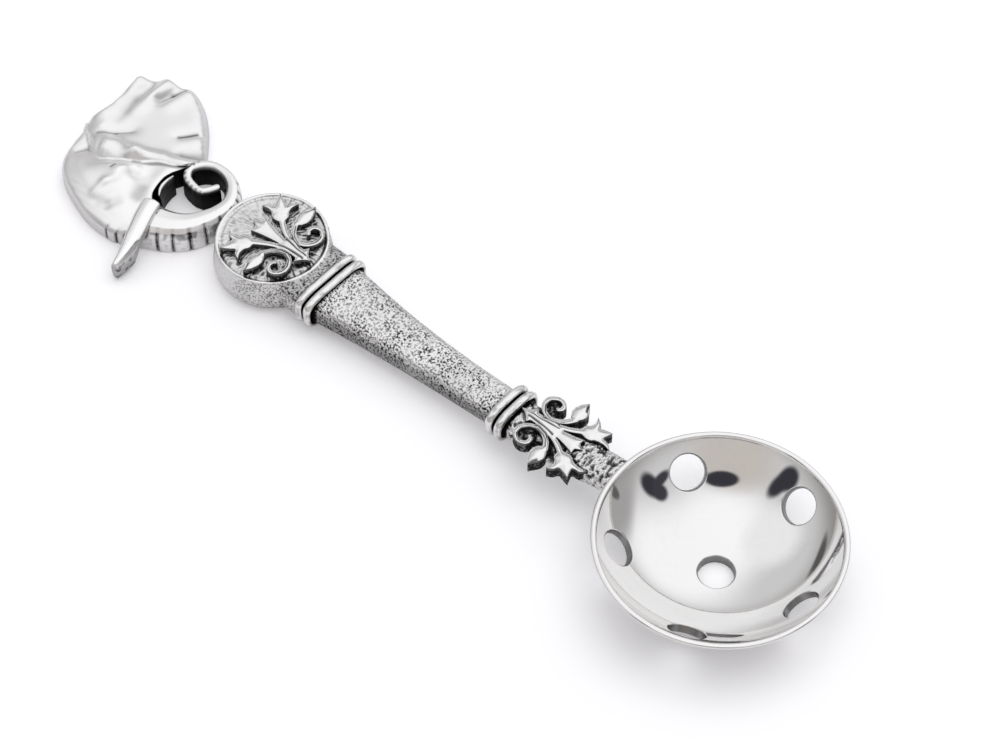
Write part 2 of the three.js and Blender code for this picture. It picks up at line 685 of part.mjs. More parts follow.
function smoothLine(points, steps) {
  const curve = new THREE.SplineCurve(points.map(([x, y]) => new THREE.Vector2(x, y)));
  return curve.getSpacedPoints(steps);
}

const faceLine = smoothLine(FACE_LINE, 24);

// The head ends square to the trunk's root, under the tusk
function trunkJoint() {
  const heading = trunkCurve.getTangentAt(0);
  const start = new THREE.Vector2(...TRUNK_PATH[0]);
  start.addScaledVector(heading, -SOLDER_GAP);
  const across = new THREE.Vector2(heading.y, -heading.x).multiplyScalar(TRUNK_ROOT_WIDTH / 2);
  return [start.clone().add(across), start.clone().sub(across)];
}

function makeHead() {
  const lower = faceLine.map((point) => new THREE.Vector2(point.x, point.y - SOLDER_GAP)).reverse();
  const joint = trunkJoint();
  const forehead = [...smoothLine(FOREHEAD_LINE, 24), joint[0]];
  const outline = [...lower, ...forehead, joint[1], ...smoothLine(JAW_LINE, 10)];
  return relief(outline, forehead, faceHeight, HEAD_EDGE, HEAD_ROUND)
    .subtract(trunkBar(SOLDER_GAP))
    .subtract(tuskBar(SOLDER_GAP))
    .subtract(lipBar(SOLDER_GAP));
}

function makeEar() {
  const edge = smoothLine(EAR_EDGE_LINE, 36);
  const outline = [...faceLine, ...edge];
  return relief(outline, edge, earHeight, EAR_EDGE, EAR_ROUND).subtract(trunkBar(SOLDER_GAP));
}

// What lies below the spoon's flat back
function below() {
  const reach = 2 * (BOWL_RADIUS + MEDALLION_RADIUS);
  const block = new THREE.BoxGeometry(reach, reach, 2 * BELLY);
  block.translate(elephantX, 0, -BELLY);
  return toSolid(block);
}

function makeTrunk() {
  const clear = MEDALLION_RADIUS + SOLDER_GAP;
  const disc = prism(new THREE.Shape().absarc(0, 0, clear, 0, 2 * Math.PI), -BELLY, 2 * TRUNK_ROOT_HEIGHT);
  return trunkBar(0)
    .subtract(below())
    .subtract(tuskBar(SOLDER_GAP))
    .subtract(disc)
    .subtract(socket(...trunkDowel, TRUNK_DOWEL_DIAMETER / 2));
}

place('elephant_trunk', makeTrunk(), silver(0.3, 0.72));
place('elephant_head', makeHead(), silver(0.28, 0.82));
place('elephant_ear', makeEar(), silver(0.28, 0.82));
place('elephant_tusk', tuskBar(0), silver(0.25, 0.8));
place('elephant_lip', lipBar(0).subtract(below()), silver(0.3, 0.75));

export default spoon;
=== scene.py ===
"""Olive spoon in antiqued silver: pierced bowl, ornamented handle and an elephant's head.

Metres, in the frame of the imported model: +X towards the bowl, +Z up, table at Z = 0.
"""

import math
import random

import bmesh
import bpy
import numpy as np
from mathutils import Matrix, Vector, kdtree, noise
from mathutils.bvhtree import BVHTree


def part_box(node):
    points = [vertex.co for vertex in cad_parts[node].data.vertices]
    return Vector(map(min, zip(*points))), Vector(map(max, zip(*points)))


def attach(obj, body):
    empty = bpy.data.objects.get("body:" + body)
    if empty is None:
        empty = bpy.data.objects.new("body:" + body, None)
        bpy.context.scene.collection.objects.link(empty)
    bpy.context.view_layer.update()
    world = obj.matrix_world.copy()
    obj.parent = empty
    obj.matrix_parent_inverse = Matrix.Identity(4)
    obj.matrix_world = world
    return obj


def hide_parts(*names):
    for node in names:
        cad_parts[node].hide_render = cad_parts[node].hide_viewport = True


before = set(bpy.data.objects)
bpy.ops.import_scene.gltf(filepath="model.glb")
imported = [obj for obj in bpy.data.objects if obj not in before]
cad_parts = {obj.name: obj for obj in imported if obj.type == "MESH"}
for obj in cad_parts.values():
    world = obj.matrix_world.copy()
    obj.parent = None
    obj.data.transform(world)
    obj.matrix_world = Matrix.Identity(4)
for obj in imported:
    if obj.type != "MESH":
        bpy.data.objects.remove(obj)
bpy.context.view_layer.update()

bl_info = {
    "name": "Olive Spoon",
    "version": (1, 0, 0),
    "blender": (4, 5, 0),
    "location": "View3D > Sidebar > Olive Spoon",
    "description": "Dresses the olive spoon in polished, satin and antiqued silver",
    "category": "Object",
}

MM = 0.001
BODY = "root"
PATINA = "patina"

# Vertices closer than this are joined, in millimetres
MERGE_REACH = 0.002

# Where each noise pattern starts
SEEDS = {
    "shaft_pits": 1.0, "shaft_patches": 2.0, "wire_wear": 3.0, "neck_coarse": 11.0, "neck_fine": 12.0,
    "hatching": 21.0, "medallion_pits": 22.0, "medallion_patches": 23.0, "trunk_rough": 31.0,
    "trunk_ridge": 33.0, "tusk_spots": 41.0, "lily_wear": 51.0,
}
# The finer noise in a pit's edge: how much finer, where it starts and its weight, then the level
# at which a pit has its full depth
DETAIL_FINENESS = 2.3
DETAIL_SEED = 7.0
DETAIL_WEIGHT = 0.55
PIT_LEVEL = 0.34

# Rays that feel how closed in a place is: their reach, start and lean off the surface, then the
# cells that share one answer and the rounds that even the answers
RAY_COUNT = 14
RAY_SEED = 5
RAY_REACH = 3.0
RAY_CLEAR = 0.22
RAY_LEAN = 1.05
CELL_SIZE = 0.5
CELL_TURNS = 1.5
CELL_ROUNDS = 4

# Noise of the finishes: clouds, grain, and how much the grain spreads the gloss
CLOUD_SCALE = 140.0
CLOUD_DETAIL = 3.0
GRAIN_DETAIL = 4.0
GRAIN_HEIGHT = 0.02
GLOSS_SPREAD = 0.3

# The camera that fits the photograph
CAMERA_PLACE = (0.25423, -0.22874, 0.41833)
CAMERA_AZIMUTH = 41.13
CAMERA_ELEVATION = 53.02
CAMERA_LENS = 105
CAMERA_CLIP = (0.01, 20)
SENSOR_WIDTH = 36

BLACK = (0.0, 0.0, 0.0)
WHITE = (1.0, 1.0, 1.0)

# The floor and the lamp over it
FLOOR_SIZE = 4
FLOOR_CELLS = 8
FLOOR_DROP = 0.02
FLOOR_ROUGHNESS = 0.9
FLOOR_GLOW = (0.2, 0.2, 0.203)
LAMP_PLACE = (0.2, 0.2, 1.4)
LAMP_AIM = (0.04, 0, 0)
LAMP_SIZE = 1.2
LAMP_POWER = 3.8

# The light tent: colours at the foot and on the wall, the rise between them, then patches of
# it, each with its azimuth from +X, elevation, half width and half height in degrees,
# softness and colour
TENT_FOOT = (0.3, 0.29, 0.28)
TENT_WALL = (0.66, 0.655, 0.66)
TENT_RISE = (0.02, 0.45)
TENT_PATCHES = [
    (0, 90, 55, 55, 0.7, (1.06, 1.06, 1.07)),
    (84, 48, 56, 46, 0.65, (1.05, 1.05, 1.06)),
    (205, 52, 28, 28, 0.65, (0.92, 0.92, 0.93)),
    (300, 35, 45, 30, 0.65, (0.6, 0.56, 0.53)),
    (309, 50, 15, 7, 0.28, (0.04, 0.04, 0.05)),
    (249, 27, 9, 12, 0.4, (0.04, 0.04, 0.05)),
    (252, 36, 7, 14, 0.5, (0.04, 0.04, 0.05)),
    (18, 29, 8, 13, 0.45, (0.04, 0.04, 0.05)),
    (16, 38, 7, 8, 0.45, (0.05, 0.05, 0.06)),
    (8, 32, 11, 5, 0.5, (0.05, 0.05, 0.06)),
    (46, 12, 26, 16, 0.9, (0.4, 0.39, 0.39)),
    (42, 4, 4, 7, 0.5, (0.12, 0.12, 0.12)),
    (184, 11, 17, 4, 0.6, (0.1, 0.1, 0.1)),
]

# Bowl, in millimetres, steps of its curves, and patina outside and in the drain holes
BOWL_RADIUS = 22
BOWL_DEPTH = 11.2
BOWL_FLOOR = 1.7
RIM_WIDTH = 0.6
RIM_ROUND = 0.5
LIP_WIDTH = 1.15
DRAIN_RADIUS = 3.2
DRAIN_COUNT = 5
DRAIN_CIRCLE_RADIUS = 17.1
DRAIN_TURN = 2.5
DRAIN_SLACK = 0.01
SURFACE_SLACK = 0.02
BOWL_STEPS = 160
ARC_STEPS = 40
LIP_STEPS = 6
DRAIN_STEPS = 72
OUTSIDE_PATINA = 0.3
DRAIN_PATINA = 0.7

# Wire hoops of the collars: rise and squareness of the oblong, then the ring they are bent from
WIRE_RISE = 1.1
WIRE_PRESS = 1.1
HOOP_SQUARENESS = {"upper": 4, "lower": 2.8}
HOOP_START = 2
HOOP_STEPS = 200
WIRE_AROUND = 28
WEAR_SIZE = 1.3
WEAR_STRETCH = (2.5, 1, 1)
WEAR_PATINA = 0.4

# Shaft, in millimetres: width, height and height of the axis at each end
SHAFT_WIDTH = (13, 7.6)
SHAFT_HEIGHT = (6.2, 5)
SHAFT_AXIS = (4.7, 5.85)
SHAFT_FLARE = 2.2
SHAFT_SWEEP = 3
SHAFT_SQUARENESS = 3.6
SHAFT_AROUND = 220
SHAFT_ALONG = 330
TURN_STEPS = 4000
SHAFT_PATCHES = 3.0
SHAFT_END = 0.8
# Patina in the shaft's pits and on its plateaus, patina and painted shade on its near side, painted
# shade below its edge, and patina at its ends
SHAFT_PATINA_AND_SHADE = (0.95, 0.06, 0.5, 0.15, 0.6)

# Neck: size of its faces, then its pits as shares of the shaft's pits
NECK_GRAIN = 0.15
NECK_ROUNDS = 6
NECK_STRETCH = (1.0, 0.6, 0.8)
NECK_COARSE = 1.9
NECK_FINE = 0.7
NECK_DEPTH = 2.8
# Patina in the neck's coarse pits, in its fine pits and in sheltered places
NECK_PATINA = (0.85, 0.2, 0.9)

# Medallion, in millimetres: its floor, how that swells and steps up, and the lift of its far side
MEDALLION_GRAIN = 0.17
MEDALLION_ROUNDS = 5
FLOOR_EDGE = 9.8
SHOULDER_START = 10.7
FLOOR_SWELL = 0.55
SWELL_RUN = (3.0, 9.6)
FLOOR_STEP = 0.35
STEP_RUN = (9.0, 9.7)
FAR_LIFT = 0.8
FAR_WAY = (-0.66, 0.75)
FAR_RUN = (-3.0, 11.0)
LIFT_FOOT = 3
LIFT_RISE = 5
BACK_EDGE = 0.3
DARK_RUN = (-6, 9)
HATCH_AROUND = 13
HATCH_OUTWARD = 0.45
HATCH_SIZE = 0.5
MEDALLION_PATCHES = 4.0
# Patina of sheltered places, of the floor and more to its right, of the hatching and more in
# patches, in sheltered places and to the right, of the shoulder and its pits, and of the side, its
# pits and more in them to the right
CORNER_PATINA = 0.2
FLOOR_PATINA = (0.1, 0.12)
HATCH_PATINA = (0.2, 0.25, 0.4, 0.25)
SHOULDER_PATINA = (0.38, 0.6)
SIDE_PATINA = (0.17, 0.25, 0.4)

# Lilies, in millimetres, with the plates that close the neck lily's scrolls
LILY_GRAIN = 0.1
LILY_ROUNDS = 4
LILY_WALL = 0.5
PETAL_FALL = 0.48
LINE_DEPTH = 0.28
LILY_WEAR = 0.5
PLATE_DROP = 1.7
PLATE_DEPTH = 1.2
PLATE_SIDES = 40
# How far wear clears the lilies' dark sides, then patina on steep places and in the lines
LILY_PATINA = (0.25, 0.8, 0.95)
# Lines and scrolls of the lilies, on the grid that they are drawn on: base at the origin,
# flowers towards +X and the same on both sides
LILY_TIP = 1.7
SCROLL_MIDDLE = (2.0, 4.3)
SCROLL_FILL = 1.7
LILY_SCALES = {"medallion_lily": (-1.0, -1.0), "neck_lily": (1.09, 0.87)}
LILY_LINES = [
    (((0, 0.45), (2, 0.5), (4, 0.72), (5.4, 1.0)), 0.16),
    (((0.9, 1.45), (2.7, 1.27), (4.4, 1.68), (5.8, 2.5)), 0.16),
    ((
        (6, 4.2), (5.1, 2.75), (4.2, 2.15), (3, 1.75),
        (1.6, 2.4), (0.75, 3.8), (0.85, 5.3), (1.9, 6.2),
    ), 0.1),
    (((6.7, 7.8), (6.3, 8.7), (6.1, 9.6)), 0.16),
]

# The elephant's plan is measured from where its trunk meets the medallion
ELEPHANT_X = -11.42
TRUNK_PATH = [
    (-12, -9.9), (-8.2, -8.4), (-5.4, -6.3), (-3.7, -3.6), (-2.6, -0.2), (-2.7, 3), (-4.7, 5.9),
    (-7.1, 7.4), (-9.5, 7.8), (-11.8, 7.4), (-13.6, 5.9), (-14.3, 4), (-13.2, 2.2), (-11, 1.5),
    (-8.9, 1.5), (-7.8, 3), (-7.2, 4.4),
]


def smoothstep(low, high, value):
    """0 below low, 1 above high and an easy curve between them; works on arrays too."""
    t = np.clip((value - low) / (high - low), 0, 1)
    return t * t * (3 - 2 * t)


def mix(a, b, t):
    return a + (b - a) * t


class Socket:
    """A shader socket that Python expressions can work on."""

    def __init__(self, tree, socket):
        self.tree = tree
        self.socket = socket

    def make(self, kind, settings=None, inputs=None, output=0):
        """Adds a node of a kind, with its settings first and then its inputs by name or place."""
        node = self.tree.nodes.new(kind)
        for name, value in (settings or {}).items():
            setattr(node, name, value)
        for key, value in (inputs or {}).items():
            if isinstance(value, Socket):
                self.tree.links.new(value.socket, node.inputs[key])
            else:
                node.inputs[key].default_value = value
        return Socket(self.tree, node.outputs[output])

    def math(self, operation, a, b=0.0, clamp=False):
        settings = {"operation": operation, "use_clamp": clamp}
        return self.make("ShaderNodeMath", settings, {0: a, 1: b})

    def __add__(self, other):
        return self.math("ADD", self, other)

    __radd__ = __add__

    def __sub__(self, other):
        return self.math("SUBTRACT", self, other)

    def __rsub__(self, other):
        return self.math("SUBTRACT", other, self)

    def __mul__(self, other):
        return self.math("MULTIPLY", self, other)

    __rmul__ = __mul__

    def clamp(self):
        return self.math("ADD", self, 0.0, clamp=True)

    def mix(self, a, b):
        """Colour a where this is 0 and colour b where it is 1."""
        settings = {"data_type": "RGBA", "clamp_factor": True}
        return self.make("ShaderNodeMix", settings, {0: self, 6: a, 7: b}, output=2)

    def ramp(self, low, high):
        """0 below low and 1 above high."""
        inputs = {0: self, 1: low, 2: high}
        return self.make("ShaderNodeMapRange", {"interpolation_type": "SMOOTHSTEP"}, inputs)


def new_material(name):
    material = bpy.data.materials.new(name)
    material.use_nodes = True
    tree = material.node_tree
    shader = tree.nodes["Principled BSDF"]
    return material, tree, shader


def colour(value):
    return (*value, 1.0)


def silver(name, bright, dark, gloss, dull, grain, bump, mottle):
    """Silver whose patina attribute turns it from bright and glossy to dark and dull."""
    material, tree, shader = new_material(name)
    start = Socket(tree, None)
    place = start.make("ShaderNodeTexCoord", output="Object")
    patina = start.make("ShaderNodeAttribute", {"attribute_name": PATINA}, output="Fac")
    fine = start.make("ShaderNodeTexNoise", None, {
        "Vector": place, "Scale": grain, "Detail": GRAIN_DETAIL})
    cloud = start.make("ShaderNodeTexNoise", None, {
        "Vector": place, "Scale": CLOUD_SCALE, "Detail": CLOUD_DETAIL})
    tarnish = (patina + (cloud - 0.5) * mottle + (fine - 0.5) * mottle).clamp()
    if bright == dark:
        shader.inputs["Base Color"].default_value = colour(dark)
    else:
        toned = tarnish.mix(colour(bright), colour(dark))
        tree.links.new(toned.socket, shader.inputs["Base Color"])
    roughness = gloss + tarnish * (dull - gloss) + (fine - 0.5) * (GLOSS_SPREAD * gloss)
    tree.links.new(roughness.clamp().socket, shader.inputs["Roughness"])
    shader.inputs["Metallic"].default_value = 1.0
    if bump:
        inputs = {"Height": fine, "Strength": bump, "Distance": GRAIN_HEIGHT * MM}
        normal = start.make("ShaderNodeBump", None, inputs)
        tree.links.new(normal.socket, shader.inputs["Normal"])
    return material


def finish_named(name):
    """The finish of that name, made the first time that it is asked for."""
    if name in bpy.data.materials:
        return bpy.data.materials[name]
    hues = bpy.context.scene.spoon_colours
    # Bright and dark colour, gloss, dullness, scale of the grain, bump and mottle
    finishes = {
        "bowl_polish": (hues.polish, hues.oxide, 0.05, 0.4, 900.0, 0.0, 0.08),
        "hoop_polish": (hues.polish, hues.oxide, 0.22, 0.5, 2500.0, 0.2, 0.15),
        "lily_silver": (hues.polish, hues.oxide, 0.24, 0.6, 2500.0, 0.15, 0.06),
        "elephant_satin": (hues.satin, hues.oxide, 0.36, 0.55, 2500.0, 0.15, 0.05),
        "tusk_silver": (hues.satin, hues.oxide, 0.2, 0.5, 2500.0, 0.1, 0.1),
        "antique_silver": (hues.antique, hues.oxide, 0.24, 0.55, 2600.0, 0.5, 0.3),
        "black_silver": (hues.oxide, hues.oxide, 0.5, 0.6, 2500.0, 0.3, 0.1),
    }
    return silver(name, *finishes[name])


def add_piece(name, mesh, finish, slot, *nodes):
    """Puts a finished mesh on the spoon, in place of the solids that it stands for."""
    mesh.name = name
    mesh.polygons.foreach_set("use_smooth", [True] * len(mesh.polygons))
    mesh.materials.clear()
    mesh.materials.append(finish_named(finish))
    piece = bpy.data.objects.new(name, mesh)
    bpy.context.scene.collection.objects.link(piece)
    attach(piece, BODY)
    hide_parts(*nodes)
    return piece


def merged_copy(node):
    """A copy of a solid's mesh, with its loose triangles joined."""
    shape = bmesh.new()
    shape.from_mesh(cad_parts[node].data)
    bmesh.ops.remove_doubles(shape, verts=shape.verts, dist=MERGE_REACH * MM)
    return shape


def to_mesh(shape):
    mesh = bpy.data.meshes.new("made")
    shape.to_mesh(mesh)
    shape.free()
    return mesh


def with_modifiers(mesh, *modifiers):
    """The mesh after a row of modifiers, each a type and its settings."""
    carrier = bpy.data.objects.new("carrier", mesh)
    bpy.context.scene.collection.objects.link(carrier)
    for kind, settings in modifiers:
        modifier = carrier.modifiers.new(kind, kind)
        for name, value in settings.items():
            setattr(modifier, name, value)
    graph = bpy.context.evaluated_depsgraph_get()
    result = bpy.data.meshes.new_from_object(carrier.evaluated_get(graph))
    bpy.data.objects.remove(carrier)
    bpy.data.meshes.remove(mesh)
    return result


def fine_copy(shape, grain, rounds):
    """A shape in even faces of one size, smoothed so that no facets show."""
    remesh = {"mode": "VOXEL", "voxel_size": grain * MM, "adaptivity": 0}
    soften = {"factor": 0.5, "iterations": rounds}
    return with_modifiers(to_mesh(shape), ("REMESH", remesh), ("SMOOTH", soften))


def points_of(mesh):
    """Places in millimetres and normals of a mesh's vertices."""
    places = np.zeros(len(mesh.vertices) * 3)
    mesh.vertices.foreach_get("co", places)
    normals = np.zeros(len(mesh.vertices) * 3)
    mesh.vertex_normals.foreach_get("vector", normals)
    return places.reshape(-1, 3) / MM, normals.reshape(-1, 3)


def set_points(mesh, places):
    mesh.vertices.foreach_set("co", (places * MM).ravel())
    mesh.update()


def set_patina(mesh, values):
    attribute = mesh.attributes.get(PATINA) or mesh.attributes.new(PATINA, "FLOAT", "POINT")
    attribute.data.foreach_set("value", np.clip(values, 0, 1).astype(np.float32))


def lumps(places, size, seed):
    """Smooth noise with lumps of a size, about -1 to 1."""
    shift = Vector((seed, 2 * seed, -seed))
    return np.array([noise.noise(Vector(p) / size + shift) for p in places])


def pits(places, size, seed):
    """Irregular pits of a size: 0 on the plateaus and 1 in the pits."""
    coarse = lumps(places, size, seed)
    detail = lumps(places, size / DETAIL_FINENESS, seed + DETAIL_SEED)
    return smoothstep(0.0, PIT_LEVEL, coarse + DETAIL_WEIGHT * detail)


def solid_tree():
    """All the solids in one tree for short rays."""
    corners = []
    faces = []
    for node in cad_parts.values():
        offset = len(corners)
        corners.extend(v.co / MM for v in node.data.vertices)
        faces.extend([offset + i for i in p.vertices] for p in node.data.polygons)
    return BVHTree.FromPolygons(corners, faces)


SOLIDS = solid_tree()


def spread_rays(count, seed):
    """Directions spread all round, the same ones at each run."""
    draw = random.Random(seed)
    rays = []
    while len(rays) < count:
        ray = Vector((draw.uniform(-1, 1), draw.uniform(-1, 1), draw.uniform(-1, 1)))
        if 0.05 < ray.length < 1:
            rays.append(ray.normalized())
    return rays


RAYS = spread_rays(RAY_COUNT, RAY_SEED)


def shelter(mesh, clear=RAY_CLEAR):
    """How closed in each vertex is by the solids round it: 0 open, 1 shut in."""
    places, normals = points_of(mesh)
    cells = np.round(np.hstack([places / CELL_SIZE, CELL_TURNS * normals])).astype(int)
    _, chosen, member = np.unique(cells, axis=0, return_index=True, return_inverse=True)
    values = np.zeros(len(chosen))
    for i, index in enumerate(chosen):
        up = Vector(normals[index])
        start = Vector(places[index]) + up * clear
        ways = [(ray + up * RAY_LEAN).normalized() for ray in RAYS]
        values[i] = sum(SOLIDS.ray_cast(start, way, RAY_REACH)[0] is not None for way in ways)
    return evened(mesh, values[member.ravel()] / len(RAYS), CELL_ROUNDS)


def evened(mesh, values, rounds):
    """Values of the vertices, each averaged with its neighbours."""
    ends = np.zeros(len(mesh.edges) * 2, int)
    mesh.edges.foreach_get("vertices", ends)
    a, b = ends.reshape(-1, 2).T
    count = len(mesh.vertices)
    shares = 1 + np.bincount(a, minlength=count) + np.bincount(b, minlength=count)
    for _ in range(rounds):
        near = np.bincount(a, values[b], count) + np.bincount(b, values[a], count)
        values = (values + near) / shares
    return values


def oblong(angle, half_width, half_height, squareness):
    """A point on a rounded oblong."""
    across = math.cos(angle)
    up = math.sin(angle)
    return (
        half_width * math.copysign(abs(across) ** (2 / squareness), across),
        half_height * math.copysign(abs(up) ** (2 / squareness), up),
    )


def even_turns(width, height, squareness):
    """Shares of the way round a rounded oblong, and the angle at each."""
    angles = np.linspace(-math.pi, math.pi, TURN_STEPS + 1)
    spots = np.array([oblong(angle, width / 2, height / 2, squareness) for angle in angles])
    run = np.concatenate([[0], np.cumsum(np.linalg.norm(np.diff(spots, axis=0), axis=1))])
    return run / run[-1], angles


def plan_tree(points):
    """A tree that finds the nearest of some points in plan."""
    tree = kdtree.KDTree(len(points))
    for i, point in enumerate(points):
        tree.insert((point[0], point[1], 0), i)
    tree.balance()
    return tree


def stroke(places, start, end):
    """Distance in plan from each point to a line between two plan points."""
    a = np.array(start, float)
    b = np.array(end, float)
    side = b - a
    t = np.clip(((places[:, :2] - a) @ side) / (side @ side), 0, 1)
    return np.linalg.norm(places[:, :2] - a - t[:, None] * side, axis=1)


def spline(points, steps):
    """A smooth line through plan points."""
    line = np.array([points[0], *points, points[-1]], float)
    drawn = []
    for i in range(1, len(line) - 2):
        p0, p1, p2, p3 = line[i - 1:i + 3]
        for t in np.linspace(0, 1, steps, endpoint=False):
            drawn.append(0.5 * (
                2 * p1 + (p2 - p0) * t + (2 * p0 - 5 * p1 + 4 * p2 - p3) * t ** 2
                + (3 * p1 - p0 - 3 * p2 + p3) * t ** 3
            ))
    drawn.append(line[-1])
    return np.array(drawn)


class SpoonSizes(bpy.types.PropertyGroup):
    """Sizes of the spoon's fine detail."""

    drain_edge: bpy.props.FloatProperty(
        name="Drain edge", description="Rounding of the drain holes' edges",
        default=0.00005, unit="LENGTH")
    pit_size: bpy.props.FloatProperty(
        name="Pit size", description="Width of the pits on the handle",
        default=0.00034, unit="LENGTH")
    pit_depth: bpy.props.FloatProperty(
        name="Pit depth", description="Depth of the pits on the handle",
        default=0.00015, unit="LENGTH")
    petal_round: bpy.props.FloatProperty(
        name="Petal rounding", description="How far the lilies' tops round off at their edges",
        default=0.0013, unit="LENGTH")


class SpoonColours(bpy.types.PropertyGroup):
    """Colours of the silver and the stage."""

    polish: bpy.props.FloatVectorProperty(
        name="Polished silver", description="Bright polished silver", subtype="COLOR",
        default=(0.87, 0.865, 0.86))
    satin: bpy.props.FloatVectorProperty(
        name="Satin silver", description="Satin silver of the elephant", subtype="COLOR",
        default=(0.95, 0.945, 0.947))
    antique: bpy.props.FloatVectorProperty(
        name="Antiqued silver", description="Plateaus of the pitted handle", subtype="COLOR",
        default=(0.88, 0.875, 0.87))
    oxide: bpy.props.FloatVectorProperty(
        name="Oxide", description="Blackened silver in the hollows", subtype="COLOR",
        default=(0.018, 0.017, 0.018))
    floor: bpy.props.FloatVectorProperty(
        name="Floor", description="Pale studio floor", subtype="COLOR",
        default=(0.9, 0.893, 0.915))


BOWL_X = sum(corner.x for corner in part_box("bowl")) / 2
INSIDE_RADIUS = BOWL_RADIUS - RIM_WIDTH
INSIDE_SPHERE = (INSIDE_RADIUS ** 2 + BOWL_DEPTH ** 2) / (2 * BOWL_DEPTH)
INSIDE_CENTRE = BOWL_FLOOR + INSIDE_SPHERE
RIM_HEIGHT = BOWL_FLOOR + BOWL_DEPTH
EDGE_HEIGHT = RIM_HEIGHT - RIM_ROUND
LIP_RADIUS = BOWL_RADIUS - LIP_WIDTH
LIP_HEIGHT = INSIDE_CENTRE - math.sqrt(INSIDE_SPHERE ** 2 - LIP_RADIUS ** 2)
OUTSIDE_CENTRE = (BOWL_RADIUS ** 2 + EDGE_HEIGHT ** 2 - DRAIN_RADIUS ** 2) / (2 * EDGE_HEIGHT)
OUTSIDE_SPHERE = math.hypot(DRAIN_RADIUS, OUTSIDE_CENTRE)


def arc(centre, radius, start, end, count):
    """Points (radius, height) on an arc round the bowl's axis."""
    turns = [mix(start, end, i / count) for i in range(count + 1)]
    return [(radius * math.cos(turn), centre + radius * math.sin(turn)) for turn in turns]


def bend(start, pull, end, count):
    """Points on a curve from start to end that a third point pulls, without the start."""
    a, b, c = (np.array(point, float) for point in (start, pull, end))
    shares = [i / count for i in range(1, count + 1)]
    return [tuple((1 - t) ** 2 * a + 2 * t * (1 - t) * b + t ** 2 * c) for t in shares]


def bowl_profile():
    """Half of the bowl's section: outside, rounded lip and inside."""
    down = -math.pi / 2
    outer_edge = math.atan2(EDGE_HEIGHT - OUTSIDE_CENTRE, BOWL_RADIUS)
    inner_edge = math.atan2(LIP_HEIGHT - INSIDE_CENTRE, LIP_RADIUS)
    crest = (BOWL_RADIUS - LIP_WIDTH / 2, RIM_HEIGHT)
    line = arc(OUTSIDE_CENTRE, OUTSIDE_SPHERE, down, outer_edge, ARC_STEPS)
    line += bend((BOWL_RADIUS, EDGE_HEIGHT), (BOWL_RADIUS, RIM_HEIGHT), crest, LIP_STEPS)
    line += bend(crest, (LIP_RADIUS, RIM_HEIGHT), (LIP_RADIUS, LIP_HEIGHT), LIP_STEPS)[:-1]
    return line + arc(INSIDE_CENTRE, INSIDE_SPHERE, inner_edge, down, ARC_STEPS)


def bowl_blank():
    """The bowl without holes, turned from its profile."""
    shape = bmesh.new()
    verts = [shape.verts.new((x * MM, 0, z * MM)) for x, z in bowl_profile()]
    edges = [shape.edges.new(pair) for pair in zip(verts, verts[1:])]
    bmesh.ops.spin(
        shape, geom=verts + edges, cent=(0, 0, 0), axis=(0, 0, 1), angle=2 * math.pi,
        steps=BOWL_STEPS, use_merge=True)
    bmesh.ops.remove_doubles(shape, verts=shape.verts, dist=MERGE_REACH * MM)
    bmesh.ops.recalc_face_normals(shape, faces=shape.faces)
    bmesh.ops.translate(shape, verts=shape.verts, vec=(BOWL_X, 0, 0))
    return to_mesh(shape)


def drain_directions():
    """Directions from the inside sphere's middle to the holes."""
    tilt = math.asin(DRAIN_CIRCLE_RADIUS / INSIDE_SPHERE)
    ways = [Vector((0, 0, -1))]
    for i in range(DRAIN_COUNT):
        turn = math.radians(DRAIN_TURN) + 2 * math.pi * i / DRAIN_COUNT
        across = math.sin(tilt)
        ways.append(Vector((across * math.cos(turn), across * math.sin(turn), -math.cos(tilt))))
    return ways


DRAIN_WAYS = drain_directions()


def drain_cutters():
    """Six pegs that flare inside the bowl, so that the holes get an eased edge."""
    ease = bpy.context.scene.spoon_sizes.drain_edge / MM
    half = BOWL_DEPTH / 2
    outline = [
        (0, -half), (DRAIN_RADIUS + half - ease, -half), (DRAIN_RADIUS, ease),
        (DRAIN_RADIUS, half), (0, half),
    ]
    shape = bmesh.new()
    for way in DRAIN_WAYS:
        middle = Vector((BOWL_X, 0, INSIDE_CENTRE * MM)) + way * INSIDE_SPHERE * MM
        place = Matrix.Translation(middle) @ way.to_track_quat("Z", "Y").to_matrix().to_4x4()
        verts = [shape.verts.new((x * MM, 0, z * MM)) for x, z in outline]
        edges = [shape.edges.new(pair) for pair in zip(verts, verts[1:])]
        bmesh.ops.spin(
            shape, geom=verts + edges, cent=(0, 0, 0), axis=(0, 0, 1), angle=2 * math.pi,
            steps=DRAIN_STEPS, use_merge=True)
        turned = {v for f in shape.faces for v in f.verts if not f.tag}
        bmesh.ops.transform(shape, matrix=place, verts=list(turned))
        for face in shape.faces:
            face.tag = True
    bmesh.ops.remove_doubles(shape, verts=shape.verts, dist=MERGE_REACH * MM)
    bmesh.ops.recalc_face_normals(shape, faces=shape.faces)
    return to_mesh(shape)


def hole_normal(point):
    """The normal of a hole's wall at a point in metres, or None away from the holes."""
    reach = point - Vector((BOWL_X, 0, INSIDE_CENTRE * MM))
    for way in DRAIN_WAYS:
        along = reach.dot(way)
        across = reach - way * along
        if along > 0 and across.length < (DRAIN_RADIUS + DRAIN_SLACK) * MM:
            return -across.normalized()
    return None


